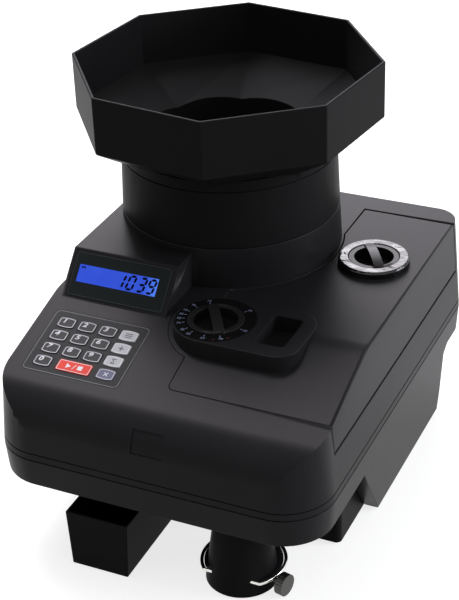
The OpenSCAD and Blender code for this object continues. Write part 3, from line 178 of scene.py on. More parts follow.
# Diameter dial: middle and height of its printed face, and radii of its marks, in millimetres
DIAL = (48.8, -140.5)
DIAL_SCALE_Z = 176.9
DIAL_TICK = (24.6, 26.8)
DIAL_TICK_WIDTH = 0.5
DIAL_DIGIT_R = 29.4
RED_MARK_R = 29.8
RED_MARK_HALF = 1.3
RED_MARK_WIDTH = 0.6
RED_MARK_ANGLES = (291, 313)

# Power inlet on the rear wall: contact pins and rocker, in millimetres, with the ring's line in metres
SOCKET_PINS = ((-18.0, -2.0), (-4.0, -2.0), (-11.0, 2.5))
SOCKET_FLOOR = -14.0
PIN_SIZE = (2.0, 4.0, 11.0)
PIN_BEVEL = 0.6
ROCKER_AT = (19.0, 0.0, -3.0)
ROCKER_TILT = math.radians(8)
ROCKER_RISE = math.atan2(1.0, 9.0)
ROCKER_SIGN_AT = 5.0
ROCKER_SIGN_Z = 5.76
ROCKER_BAR = (0.9, 4.0)
ROCKER_RING = (4.0, 4.0)
ROCKER_RING_CORNER = 1.7
ROCKER_RING_LINE = 0.0008

# Camera that took the picture: place, directions and lens
CAMERA_AT = spot(523.8, -1111.8, 828.4)
CAMERA_AZIMUTH = math.radians(25.46)
CAMERA_ELEVATION = math.radians(30.4)
CAMERA_ROLL = math.radians(-2.2)
CAMERA_LENS = 96.24
CAMERA_SENSOR = 36.0

# Lamps: name, place, width, power and colour, all aimed at one point
LAMPS = (
    ("top_lamp", (-0.72, 0.68, 1.80), 1.1, 47.0, (1.0, 0.94, 1.0)),
    ("back_lamp", (-0.75, 1.85, 1.25), 1.3, 28.0, (0.97, 0.93, 1.0)),
    ("right_lamp", (2.0, 0.5, 0.9), 1.2, 40.0, (0.92, 0.94, 1.0)),
)
LAMP_AIM = Vector((0, 0, 0.17))
# Floor: half its side, its colour, and what makes it look white. Room: light from the side and from above
FLOOR_HALF = 6.0
FLOOR_TONE = (0.32, 0.32, 0.32, 1.0)
FLOOR_WHITE = 0.76
ROOM_LIGHT = (0.18, 0.75)
WHITE = (1.0, 1.0, 1.0, 1.0)


class CounterSizes(bpy.types.PropertyGroup):
    """Small sizes of the finish."""

    cover_edge: FloatProperty(
        name="Cover edges",
        description="Radius of the moulded edges of the covers",
        default=0.0008,
        unit="LENGTH",
    )
    deck_edge: FloatProperty(
        name="Deck edge",
        description="Radius between the lid's deck and its side wall",
        default=0.0027,
        unit="LENGTH",
    )
    hopper_edge: FloatProperty(
        name="Hopper edges",
        description="Radius of the hopper's rim and corners",
        default=0.0009,
        unit="LENGTH",
    )
    tray_edge: FloatProperty(
        name="Tray edges",
        description="Radius of the tray's rim and corners",
        default=0.0009,
        unit="LENGTH",
    )
    small_edge: FloatProperty(
        name="Small edges",
        description="Radius of the edges of keys, knobs and trim",
        default=0.0004,
        unit="LENGTH",
    )
    print_height: FloatProperty(
        name="Print height",
        description="Thickness of the printed marks",
        default=0.00006,
        unit="LENGTH",
    )
    line_width: FloatProperty(
        name="Line width",
        description="Width of the printed outlines",
        default=0.0008,
        unit="LENGTH",
    )
    key_digit: FloatProperty(
        name="Key digits",
        description="Height of the digits on the keys",
        default=0.0044,
        unit="LENGTH",
    )
    dial_digit: FloatProperty(
        name="Dial digits",
        description="Height of the digits round the dial",
        default=0.0027,
        unit="LENGTH",
    )


class CounterColours(bpy.types.PropertyGroup):
    """Colours of the finish."""

    cover: FloatVectorProperty(
        name="Covers",
        description="Colour of the housing",
        subtype="COLOR",
        size=3,
        default=(0.0108, 0.0103, 0.0115),
    )
    hopper: FloatVectorProperty(
        name="Hopper",
        description="Colour of the hopper",
        subtype="COLOR",
        size=3,
        default=(0.0095, 0.0095, 0.0100),
    )
    knob: FloatVectorProperty(
        name="Knobs",
        description="Colour of the knobs",
        subtype="COLOR",
        size=3,
        default=(0.0110, 0.0110, 0.0114),
    )
    glass: FloatVectorProperty(
        name="Window",
        description="Colour of the display window",
        subtype="COLOR",
        size=3,
        default=(0.0135, 0.0170, 0.0178),
    )
    lcd: FloatVectorProperty(
        name="Display",
        description="Colour of the lit display",
        subtype="COLOR",
        size=3,
        default=(0.026, 0.075, 0.66),
    )
    panel: FloatVectorProperty(
        name="Panel",
        description="Colour of the keypad film",
        subtype="COLOR",
        size=3,
        default=(0.0110, 0.0122, 0.0124),
    )
    grey_key: FloatVectorProperty(
        name="Grey keys",
        description="Colour of the light keys",
        subtype="COLOR",
        size=3,
        default=(0.36, 0.37, 0.39),
    )
    blue_key: FloatVectorProperty(
        name="Blue key",
        description="Colour of the dark blue key",
        subtype="COLOR",
        size=3,
        default=(0.075, 0.082, 0.14),
    )
    red_key: FloatVectorProperty(
        name="Red key",
        description="Colour of the start and stop key",
        subtype="COLOR",
        size=3,
        default=(0.56, 0.050, 0.034),
    )
    ink: FloatVectorProperty(
        name="Ink",
        description="Colour of the printed marks",
        subtype="COLOR",
        size=3,
        default=(0.56, 0.56, 0.60),
    )


def colours():
    """The colours in use, as RGBA lookups by name."""
    group = bpy.context.scene.counter_colours
    return lambda name: (*getattr(group, name), 1.0)


def sizes():
    """The sizes in use."""
    return bpy.context.scene.counter_sizes


# Finishes


def shade(colour, factor):
    """A lighter or darker tone of a colour."""
    return (*(min(1.0, c * factor) for c in colour[:3]), 1.0)


def new_finish(name, **sockets):
    """A material with one Principled shader; sockets that stay the same all over are set on it."""
    material = bpy.data.materials.get(name)
    if material:
        return material, None, None
    material = bpy.data.materials.new(name)
    material.use_nodes = True
    nodes = material.node_tree.nodes
    shader = nodes["Principled BSDF"]
    for socket, value in sockets.items():
        shader.inputs[socket.replace("_", " ")].default_value = value
    return material, material.node_tree, shader


def noise(tree, scale, detail=2.0, stretch=(1.0, 1.0, 1.0)):
    """A noise pattern on object coordinates."""
    place = tree.nodes.new("ShaderNodeTexCoord")
    pattern = tree.nodes.new("ShaderNodeTexNoise")
    pattern.inputs["Scale"].default_value = scale
    pattern.inputs["Detail"].default_value = detail
    mapping = tree.nodes.new("ShaderNodeMapping")
    mapping.inputs["Scale"].default_value = stretch
    tree.links.new(place.outputs["Object"], mapping.inputs["Vector"])
    tree.links.new(mapping.outputs["Vector"], pattern.inputs["Vector"])
    return pattern.outputs["Fac"]


def spread(tree, factor, low, high):
    """A pattern stretched between two values."""
    node = tree.nodes.new("ShaderNodeMapRange")
    node.inputs["From Min"].default_value = 0.3
    node.inputs["From Max"].default_value = 0.7
    node.inputs["To Min"].default_value = low
    node.inputs["To Max"].default_value = high
    tree.links.new(factor, node.inputs["Value"])
    return node.outputs["Result"]


def blend_colour(tree, factor, first, second):
    """A pattern between two colours."""
    node = tree.nodes.new("ShaderNodeMix")
    node.data_type = "RGBA"
    node.inputs["A"].default_value = first
    node.inputs["B"].default_value = second
    tree.links.new(factor, node.inputs["Factor"])
    return node.outputs["Result"]


def bump(tree, shader, height, strength, distance):
    """Relief on the shader's normal."""
    node = tree.nodes.new("ShaderNodeBump")
    node.inputs["Strength"].default_value = strength
    node.inputs["Distance"].default_value = distance
    tree.links.new(height, node.inputs["Height"])
    tree.links.new(node.outputs["Normal"], shader.inputs["Normal"])


def moulded(name, colour, rough, grain=2600.0, depth=0.00005, strength=0.3, gloss=0.14):
    """Moulded plastic: a fine spark-eroded grain, faint mottling and slightly uneven gloss."""
    material, tree, shader = new_finish(name, Specular_IOR_Level=gloss)
    if tree:
        mottle = noise(tree, 24.0, 3.0)
        tone = blend_colour(tree, spread(tree, mottle, 0.0, 1.0), shade(colour, 0.95), shade(colour, 1.06))
        tree.links.new(tone, shader.inputs["Base Color"])
        sheen = spread(tree, noise(tree, 1300.0, 3.0), rough - 0.03, rough + 0.04)
        tree.links.new(sheen, shader.inputs["Roughness"])
        bump(tree, shader, noise(tree, grain, 3.0), strength, depth)
    return material


def metal(name, colour, rough, stretch=(1.0, 1.0, 1.0), scale=900.0):
    """Bare metal with fine drawn or turned lines along the short side of the stretch."""
    material, tree, shader = new_finish(name, Metallic=1.0)
    if tree:
        lines = noise(tree, scale, 3.0, stretch)
        tone = blend_colour(tree, spread(tree, lines, 0.0, 1.0), shade(colour, 0.82), shade(colour, 1.1))
        tree.links.new(tone, shader.inputs["Base Color"])
        tree.links.new(spread(tree, lines, rough - 0.06, rough + 0.1), shader.inputs["Roughness"])
        bump(tree, shader, lines, 0.15, 0.00003)
    return material


def rubber(name, colour):
    """Matt rubber with a powdery surface."""
    material, tree, shader = new_finish(name, Specular_IOR_Level=0.3)
    if tree:
        dust = noise(tree, 320.0, 5.0)
        tone = blend_colour(tree, spread(tree, dust, 0.0, 1.0), colour, shade(colour, 1.5))
        tree.links.new(tone, shader.inputs["Base Color"])
        tree.links.new(spread(tree, dust, 0.72, 0.9), shader.inputs["Roughness"])
        bump(tree, shader, noise(tree, 1500.0, 2.0), 0.3, 0.0001)
    return material


def ink(name, colour, gloss=0.2):
    """Screen-printed ink, slightly broken in tone."""
    material, tree, shader = new_finish(name, Specular_IOR_Level=gloss)
    if tree:
        grain = noise(tree, 1800.0, 2.0)
        tone = blend_colour(tree, spread(tree, grain, 0.0, 1.0), shade(colour, 0.88), colour)
        tree.links.new(tone, shader.inputs["Base Color"])
        tree.links.new(spread(tree, grain, 0.42, 0.55), shader.inputs["Roughness"])
    return material


def lit_screen(name, colour):
    """A backlit display: bright, a little stronger towards its right end where the lamp sits."""
    material, tree, shader = new_finish(name, Roughness=0.25, Emission_Strength=0.88, Specular_IOR_Level=0.1)
    if tree:
        place = tree.nodes.new("ShaderNodeTexCoord")
        split = tree.nodes.new("ShaderNodeSeparateXYZ")
        tree.links.new(place.outputs["Object"], split.inputs["Vector"])
        lamp = tree.nodes.new("ShaderNodeMapRange")
        right = spot(SCREEN_RIGHT, 0).x
        lamp.inputs["From Min"].default_value = right - SCREEN_GLOW * MM
        lamp.inputs["From Max"].default_value = right
        tree.links.new(split.outputs["X"], lamp.inputs["Value"])
        haze = spread(tree, noise(tree, 60.0, 2.0), 0.0, 0.12)
        glow = tree.nodes.new("ShaderNodeMath")
        glow.operation = "ADD"
        glow.use_clamp = True
        tree.links.new(lamp.outputs["Result"], glow.inputs[0])
        tree.links.new(haze, glow.inputs[1])
        pale = (colour[0] + 0.06, colour[1] + 0.16, min(1.0, colour[2] + 0.28), 1.0)
        tone = blend_colour(tree, glow.outputs["Value"], colour, pale)
        tree.links.new(tone, shader.inputs["Emission Color"])
        shader.inputs["Base Color"].default_value = shade(colour, 0.12)
    return material


def finishes():
    """All finishes by name."""
    tint = colours()
    dark_knob = shade(tint("knob"), 0.4)
    dark_film = shade(tint("panel"), 0.7)
    return {
        "cover": moulded("cover_grain", tint("cover"), 0.36, gloss=0.068),
        "hopper": moulded("black_hopper", tint("hopper"), 0.42, gloss=0.02),
        "knob": moulded("black_knob", tint("knob"), 0.28, grain=3600.0, strength=0.12, gloss=0.14),
        "gloss": moulded("gloss_plastic", dark_knob, 0.24, grain=4000.0, strength=0.04, gloss=0.06),
        "polish": moulded("polished_ring", dark_knob, 0.10, 55.0, 0.0030, 0.9, gloss=0.5),
        "glass": moulded("window_glass", tint("glass"), 0.16, grain=300.0, strength=0.02, gloss=0.04),
        "lcd": lit_screen("lit_display", tint("lcd")),
        "lcd_ink": ink("display_segments", (0.002, 0.003, 0.010, 1.0), 0.02),
        "panel": moulded("keypad_film", tint("panel"), 0.42, grain=3000.0, strength=0.2, gloss=0.06),
        "dark_key": moulded("key_film", dark_film, 0.38, grain=3000.0, strength=0.12, gloss=0.08),
        "grey_key": moulded("grey_key_film", tint("grey_key"), 0.44, grain=3000.0, strength=0.12, gloss=0.06),
        "blue_key": moulded("blue_key_film", tint("blue_key"), 0.40, grain=3000.0, strength=0.12, gloss=0.1),
        "red_key": moulded("red_key_film", tint("red_key"), 0.44, grain=3000.0, strength=0.12, gloss=0.05),
        "ink": ink("printed_marks", tint("ink")),
        "line_ink": ink("key_outlines", shade(tint("ink"), 0.62)),
        "edge_ink": ink("film_edge", (0.085, 0.092, 0.094, 1.0)),
        "window_ink": ink("window_edge", (0.030, 0.034, 0.036, 1.0)),
        "red_ink": ink("red_mark", (0.10, 0.018, 0.014, 1.0)),
        "dial_ink": ink("dial_marks", (0.17, 0.19, 0.30, 1.0)),
        "pale_ink": ink("pale_edge", (0.52, 0.52, 0.54, 1.0)),
        "dark_ink": ink("dark_marks", (0.02, 0.02, 0.03, 1.0)),
        "steel": metal("dull_steel", (0.42, 0.42, 0.40, 1.0), 0.36, (1.0, 1.0, 8.0)),
        "nickel": metal("dull_nickel", (0.085, 0.084, 0.080, 1.0), 0.42, (1.0, 1.0, 1.0), 1400.0),
        "chrome": metal("plated_wire", (0.78, 0.77, 0.74, 1.0), 0.14, (1.0, 1.0, 1.0), 300.0),
        "alloy": metal("brushed_alloy", (0.40, 0.41, 0.42, 1.0), 0.38, (1.0, 14.0, 14.0)),
        "board": moulded("green_board", (0.012, 0.09, 0.035, 1.0), 0.38, grain=900.0, strength=0.3),
        "rubber": rubber("black_rubber", (0.016, 0.016, 0.017, 1.0)),
    }


# Meshes


def new_piece(name, bm, material, body):
    """An object from a bmesh in place, riding on a body."""
    mesh = bpy.data.meshes.new(name)
    bm.to_mesh(mesh)
    bm.free()
    mesh.materials.append(material)
    piece = bpy.data.objects.new(name, mesh)
    bpy.context.scene.collection.objects.link(piece)
    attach(piece, body)
    return piece


def on_deck_edge(edge):
    """True for the edges between the lid's deck and its side wall."""
    middle = (edge.verts[0].co + edge.verts[1].co) / 2
    if middle.z < DECK_LOW or middle.x < DECK_RIGHT:
        return False
    normals = [f.normal for f in edge.link_faces]
    return max(n.z for n in normals) > UPWARD and max(abs(n.x) for n in normals) > SIDEWAYS


def runs_on(edge, other, corner):
    """True where one edge goes on from another at a corner without a sharp turn."""
    first = edge.other_vert(corner).co - corner.co
    second = other.other_vert(corner).co - corner.co
    return first.angle(second) > LINE_ANGLE


def room_beside(edge):
    """The shortest way from an edge to the other corners of its faces and along the edges at its ends."""
    first, second = (v.co for v in edge.verts)
    way = second - first
    room = min(e.calc_length() for v in edge.verts for e in v.link_edges)
    for v in {v for f in edge.link_faces for v in f.verts} - set(edge.verts):
        part = min(1.0, max(0.0, (v.co - first).dot(way) / way.length_squared))
        room = min(room, (first + way * part - v.co).length)
    return room


def share_rounding(bm, radius, angle, broad):
    """Gives each line of outward hard edges one rounding that fits beside it, or leaves it sharp."""
    bm.normal_update()
    share = bm.edges.layers.float.new("bevel_weight_edge")
    least = math.radians(angle)
    hard = [e for e in bm.edges if len(e.link_faces) == 2 and e.calc_face_angle(0.0) > least]
    for edge in hard:
        edge.smooth = False
    waiting = {e for e in hard if e.is_convex}
    while waiting:
        line = [waiting.pop()]
        for edge in line:
            for corner in edge.verts:
                more = [e for e in corner.link_edges if e in waiting and runs_on(edge, e, corner)]
                waiting.difference_update(more)
                line.extend(more)
        width = min(radius, ROOM_SHARE * min(room_beside(e) for e in line))
        if broad and any(on_deck_edge(e) for e in line):
            width = broad
        if width > LEAST_ROUNDING:
            for edge in line:
                edge[share] = width / max(radius, broad)
                edge.smooth = True


def dressed(node, material, radius, angle=HARD_ANGLE, segments=3, broad=0.0, shaper=None):
    """A copy of a solid with its triangles joined and its hard edges rounded, which stands for it."""
    bm = bmesh.new()
    bm.from_mesh(NODES[node].data)
    bmesh.ops.remove_doubles(bm, verts=bm.verts, dist=WELD)
    bmesh.ops.dissolve_limit(bm, angle_limit=FLAT_ANGLE, verts=bm.verts, edges=bm.edges)
    if shaper:
        shaper(bm)
    share_rounding(bm, radius, angle, broad)
    piece = new_piece(f"{node}_finish", bm, material, BODY_OF[node])
    piece.data.shade_smooth()
    rounding = piece.modifiers.new("rounded edges", "BEVEL")
    rounding.width = max(radius, broad)
    rounding.segments = segments
    rounding.limit_method = "WEIGHT"
    rounding.use_clamp_overlap = False
    rounding.profile = 0.5
    levelled = piece.modifiers.new("face normals", "WEIGHTED_NORMAL")
    levelled.mode = "FACE_AREA_WITH_ANGLE"
    levelled.weight = 60
    levelled.keep_sharp = True
    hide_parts(node)
    return piece


def paint(material, *nodes):
    """Gives solids that stay in view their material."""
    for node in nodes:
        mesh = NODES[node].data
        mesh.materials.clear()
        mesh.materials.append(material)


def join(bm, shape, place):
    """Adds a small shape to a bmesh at a place and frees it."""
    bmesh.ops.transform(shape, matrix=place, verts=shape.verts)
    mesh = bpy.data.meshes.new("shape")
    shape.to_mesh(mesh)
    shape.free()
    bm.from_mesh(mesh)
    bpy.data.meshes.remove(mesh)


def at(x, y, turn=0.0):
    """A place on a flat face in millimetres, with a turn in radians."""
    return Matrix.Translation((x * MM, y * MM, 0)) @ Matrix.Rotation(turn, 4, "Z")


def plate(width, height, corner=0.0, bulge=0.0):
    """A flat plate in millimetres with round corners, or with crowned upper and lower edges."""
    shape = bmesh.new()
    columns = CROWN_STEPS if bulge else 1
    bmesh.ops.create_grid(shape, x_segments=columns, y_segments=1, size=0.5 * MM)
    bmesh.ops.scale(shape, vec=(width, height, 1), verts=shape.verts)
    if bulge:
        for v in shape.verts:
            crown = bulge * MM * (1 - (2 * v.co.x / (width * MM)) ** 2)
            v.co.y += math.copysign(crown, v.co.y)
    if corner:
        tips = [v for v in shape.verts if len(v.link_edges) == 2]
        bmesh.ops.bevel(
            shape,
            geom=tips,
            affect="VERTICES",
            offset=corner * MM,
            segments=CORNER_STEPS,
            profile=0.5,
            material=-1,
        )
    return shape


def outline(width, height, line, corner=0.0, bulge=0.0):
    """The printed edge of such a plate."""
    shape = plate(width, height, corner, bulge)
    inner = list(shape.faces)
    bmesh.ops.inset_region(shape, faces=inner, thickness=line, use_even_offset=True, use_boundary=True)
    bmesh.ops.delete(shape, geom=inner, context="FACES")
    return shape


def bar(x0, y0, x1, y1, width):
    """A straight printed stroke between two points, in millimetres."""
    length = math.hypot(x1 - x0, y1 - y0)
    shape = plate(length, width)
    turn = math.atan2(y1 - y0, x1 - x0)
    bmesh.ops.transform(shape, matrix=at((x0 + x1) / 2, (y0 + y1) / 2, turn), verts=shape.verts)
    return shape


def polygon(points):
    """A flat shape through points in millimetres."""
    shape = bmesh.new()
    shape.faces.new([shape.verts.new((x * MM, y * MM, 0)) for x, y in points])
    return shape


def digits(text, height, slant=0.0, weight=0.0, widen=1.0):
    """Digits as a flat mesh, centred."""
    curve = bpy.data.curves.new("digits", "FONT")
    curve.body = text
    curve.size = height / DIGIT_SHARE
    curve.align_x = "CENTER"
    curve.align_y = "CENTER"
    curve.shear = slant
    curve.offset = weight
    curve.resolution_u = 4
    holder = bpy.data.objects.new("digits", curve)
    bpy.context.scene.collection.objects.link(holder)
    bpy.context.view_layer.update()
    mesh = bpy.data.meshes.new_from_object(holder.evaluated_get(bpy.context.evaluated_depsgraph_get()))
    bpy.data.objects.remove(holder)
    bpy.data.curves.remove(curve)
    shape = bmesh.new()
    shape.from_mesh(mesh)
    bpy.data.meshes.remove(mesh)
    bmesh.ops.remove_doubles(shape, verts=shape.verts, dist=1e-6)
    bmesh.ops.scale(shape, vec=(widen, 1, 1), verts=shape.verts)
    return shape


def printed(name, bm, face, lift, material, body):
    """Flat marks made into thin printed pieces on a face."""
    bmesh.ops.recalc_face_normals(bm, faces=bm.faces)
    for f in bm.faces:
        if f.normal.z < 0:
            f.normal_flip()
    raised = bmesh.ops.extrude_face_region(bm, geom=list(bm.faces))
    tops = [v for v in raised["geom"] if isinstance(v, bmesh.types.BMVert)]
    bmesh.ops.translate(bm, vec=(0, 0, sizes().print_height), verts=tops)
    bmesh.ops.recalc_face_normals(bm, faces=bm.faces)
    bmesh.ops.transform(bm, matrix=face @ Matrix.Translation((0, 0, lift)), verts=bm.verts)
    return new_piece(name, bm, material, body)


def in_recess(place):
    """True for a place on the front within the square recess."""
    low, high = RECESS_LOW, RECESS_HIGH
    return low.x < place.x < high.x and low.z < place.z < high.z and place.y < FRONT_Y


def sink_recess(bm):
    """Cuts the square recess into the rounded front."""
    for corner in (RECESS_LOW, RECESS_HIGH):
        for way in ((1, 0, 0), (0, 0, 1)):
            faces = [f for f in bm.faces if f.normal.y < FRONT_FACING and f.calc_center_median().y < FRONT_Y]
            edges = list({e for f in faces for e in f.edges})
            corners = list({v for f in faces for v in f.verts})
            geom = faces + edges + corners
            bmesh.ops.bisect_plane(bm, geom=geom, dist=1e-7, plane_co=corner, plane_no=way)
    square = [f for f in bm.faces if f.normal.y < FRONT_FACING and in_recess(f.calc_center_median())]
    if not square:
        raise RuntimeError("The recess misses the front")
    sunk = bmesh.ops.extrude_face_region(bm, geom=square)["geom"]
    deep = [v for v in sunk if isinstance(v, bmesh.types.BMVert)]
    bmesh.ops.translate(bm, vec=(0, RECESS_DEPTH, 0), verts=deep)
    left_over = [f for f in square if f.is_valid]
    if left_over:
        bmesh.ops.delete(bm, geom=left_over, context="FACES")
    bmesh.ops.recalc_face_normals(bm, faces=bm.faces)


class COUNTER_OT_covers(bpy.types.Operator):
    """Dresses the housing, the tub, the base, the neck and the lid."""

    bl_idname = "counter.covers"
    bl_label = "Covers"

    def execute(self, context):
        look = finishes()
        edge = sizes().cover_edge
        dressed("top_housing", look["cover"], edge, shaper=sink_recess)
        dressed("access_lid", look["cover"], edge, segments=4, broad=sizes().deck_edge)
        dressed("lower_tub", look["cover"], edge)
        for node in ("neck_ring", "base_block"):
            dressed(node, look["hopper"], edge)
        paint(look["rubber"], "rubber_feet")
        paint(look["hopper"], "tray_rails")
        paint(look["steel"], "housing_screws", "lid_hinge_pin")
        return {"FINISHED"}


class COUNTER_OT_hopper(bpy.types.Operator):
    """Dresses the octagonal hopper."""

    bl_idname = "counter.hopper"
    bl_label = "Hopper"

    def execute(self, context):
        dressed("hopper", finishes()["hopper"], sizes().hopper_edge, angle=HOPPER_ANGLE)
        return {"FINISHED"}


SEGMENTS = {
    "1": "bc",
    "0": "abcdef",
    "3": "abgcd",
    "9": "abfgcd",
}


def segment_digit(digit, width, height, stroke):
    """One digit of seven bars in millimetres, with pointed ends."""
    shape = bmesh.new()
    half = height / 2
    ends = {
        "a": ((0, height), (width, height)),
        "b": ((width, height), (width, half)),
        "c": ((width, half), (width, 0)),
        "d": ((0, 0), (width, 0)),
        "e": ((0, half), (0, 0)),
        "f": ((0, height), (0, half)),
        "g": ((0, half), (width, half)),
    }
    for name in SEGMENTS[digit]:
        (x0, y0), (x1, y1) = ends[name]
        length = math.hypot(x1 - x0, y1 - y0) - 2 * DISPLAY_GAP
        tip = stroke / 2
        points = [(-length / 2, 0), (-length / 2 + tip, tip), (length / 2 - tip, tip)]
        points += [(length / 2, 0), (length / 2 - tip, -tip), (-length / 2 + tip, -tip)]
        join(shape, polygon(points), at((x0 + x1) / 2, (y0 + y1) / 2, math.atan2(y1 - y0, x1 - x0)))
    return shape


class COUNTER_OT_display(bpy.types.Operator):
    """Dresses the display: dark window, lit screen and its digits."""

    bl_idname = "counter.display"
    bl_label = "Display"

    def execute(self, context):
        look = finishes()
        dressed("display_window", look["glass"], WINDOW_EDGE)
        paint(look["lcd"], "lcd_module")
        paint(look["board"], "display_board")
        rim = bmesh.new()
        width, height = (side - WINDOW_INSET for side in WINDOW_SIZE)
        join(rim, outline(width, height, WINDOW_LINE, corner=WINDOW_CORNER), at(*WINDOW_AT))
        printed("window_outline", rim, FACE, SCREEN_LIFT, look["window_ink"], "base")
        screen = bmesh.new()
        join(screen, plate(*SCREEN_SIZE, corner=SCREEN_CORNER), at(*SCREEN_AT))
        printed("lit_screen", screen, FACE, SCREEN_LIFT, look["lcd"], "base")
        marks = bmesh.new()
        slant = Matrix.Identity(4)
        slant[0][1] = DISPLAY_SLANT
        foot = SCREEN_AT[1] - DISPLAY_DIGIT_SIZE[1] / 2
        for digit, x in DISPLAY_DIGITS:
            join(marks, segment_digit(digit, *DISPLAY_DIGIT_SIZE, DISPLAY_STROKE), at(x, foot) @ slant)
        for x in DISPLAY_SIGN:
            join(marks, plate(*DISPLAY_SIGN_SIZE), at(x, SCREEN_AT[1] + DISPLAY_SIGN_RISE))
        lift = SCREEN_LIFT + sizes().print_height
        printed("display_digits", marks, FACE, lift, look["lcd_ink"], "base")
        return {"FINISHED"}


def key_place(column, row):
    """Middle of a key on the slope in millimetres."""
    return KEY_COLUMNS[column], -KEY_ROWS[row]


START_AT = ((KEY_COLUMNS[1] + KEY_COLUMNS[2]) / 2, -KEY_ROWS[3])
FUNCTION_COLUMN = 3
# Column and row of each number key
NUMBER_KEYS = {
    "1": (0, 0), "2": (1, 0), "3": (2, 0),
    "4": (0, 1), "5": (1, 1), "6": (2, 1),
    "7": (0, 2), "8": (1, 2), "9": (2, 2),
    "0": (0, 3),
}


class COUNTER_OT_keypad(bpy.types.Operator):
    """Dresses the keypad: film, keys, outlines, digits and signs."""

    bl_idname = "counter.keypad"
    bl_label = "Keypad"

    def execute(self, context):
        look = finishes()
        size = sizes()
        paint(look["panel"], "keypad_panel")
        paint(look["board"], "keypad_board")
        rim = bmesh.new()
        width, height = (side - PANEL_INSET for side in PANEL_SIZE)
        join(rim, outline(width, height, PANEL_LINE, corner=PANEL_CORNER), at(*PANEL_AT))
        printed("panel_outline", rim, SLOPE, 0.0, look["edge_ink"], "base")
        for digit, place in NUMBER_KEYS.items():
            node = f"key_{digit}"
            dressed(node, look["dark_key"], size.small_edge)
            x, y = key_place(*place)
            self.outline_key(node, x, y, look["line_ink"])
            marks = bmesh.new()
            shape = digits(digit, size.key_digit, slant=0.16, weight=0.0002, widen=1.25)
            join(marks, shape, at(x + KEY_DIGIT_SHIFT[0], y + KEY_DIGIT_SHIFT[1]))
            printed(f"{node}_digit", marks, SLOPE, KEY_RISE * MM, look["ink"], node)
        functions = (
            (self.list_sign, "grey_key", "pale_ink", "dark_ink"),
            (self.plus_sign, "grey_key", "pale_ink", "dark_ink"),
            (self.sum_sign, "grey_key", "pale_ink", "dark_ink"),
            (self.cross_sign, "blue_key", "line_ink", "ink"),
        )
        for row, (sign, film, line, mark) in enumerate(functions):
            node = f"key_function_{row + 1}"
            dressed(node, look[film], size.small_edge)
            x, y = key_place(FUNCTION_COLUMN, row)
            self.outline_key(node, x, y, look[line])
            marks = bmesh.new()
            sign(marks, x, y)
            printed(f"{node}_sign", marks, SLOPE, KEY_RISE * MM, look[mark], node)
        node = "key_start_stop"
        dressed(node, look["red_key"], size.small_edge)
        x, y = START_AT
        edge = bmesh.new()
        join(edge, outline(*START_OUTLINE, START_LINE, corner=START_CORNER), at(x, y))
        printed(f"{node}_outline", edge, SLOPE, KEY_RISE * MM, look["pale_ink"], node)
        marks = bmesh.new()
        self.start_sign(marks, x, y)
        printed(f"{node}_sign", marks, SLOPE, KEY_RISE * MM, look["ink"], node)
        return {"FINISHED"}

    def outline_key(self, node, x, y, material):
        """The light printed edge of a key."""
        marks = bmesh.new()
        shape = outline(*KEY_OUTLINE, sizes().line_width, corner=KEY_CORNER, bulge=KEY_CROWN)
        join(marks, shape, at(x, y))
        printed(f"{node}_outline", marks, SLOPE, KEY_RISE * MM, material, node)

    def list_sign(self, marks, x, y):
        """Three level bars."""
        for row in LIST_ROWS:
            join(marks, plate(LIST_LENGTH, SIGN_STROKE), at(x, y + row))

    def plus_sign(self, marks, x, y):
        """Two crossed bars."""
        join(marks, bar(-PLUS_HALF, 0, PLUS_HALF, 0, PLUS_STROKE), at(x, y))
        join(marks, bar(0, -PLUS_HALF, 0, PLUS_HALF, PLUS_STROKE), at(x, y))

    def sum_sign(self, marks, x, y):
        """A sum sign of four strokes."""
        for (x0, y0), (x1, y1) in zip(SUM_CORNERS, SUM_CORNERS[1:]):
            join(marks, bar(x0, y0, x1, y1, SIGN_STROKE), at(x, y))

    def cross_sign(self, marks, x, y):
        """Two slanting bars."""
        for turn in (1, -1):
            rise = CROSS_HALF * turn
            join(marks, bar(-CROSS_HALF, -rise, CROSS_HALF, rise, SIGN_STROKE), at(x, y))

    def start_sign(self, marks, x, y):
        """A triangle and a square on either side of a slash."""
        join(marks, polygon(START_TRIANGLE), at(x + START_TRIANGLE_X, y))
        join(marks, bar(*START_SLASH), at(x, y))
        join(marks, plate(STOP_SQUARE, STOP_SQUARE), at(x + STOP_SQUARE_X, y))


# Direction in degrees and number of each mark round the dial
DIAL_MARKS = (
    (125, "14"), (152, "16"), (171, "18"), (184, "20"), (197, "22"), (211, "24"),
    (232, "25"), (248, "26"), (274, "27"), (302, "28"), (345, "30"), (48, "34"),
)


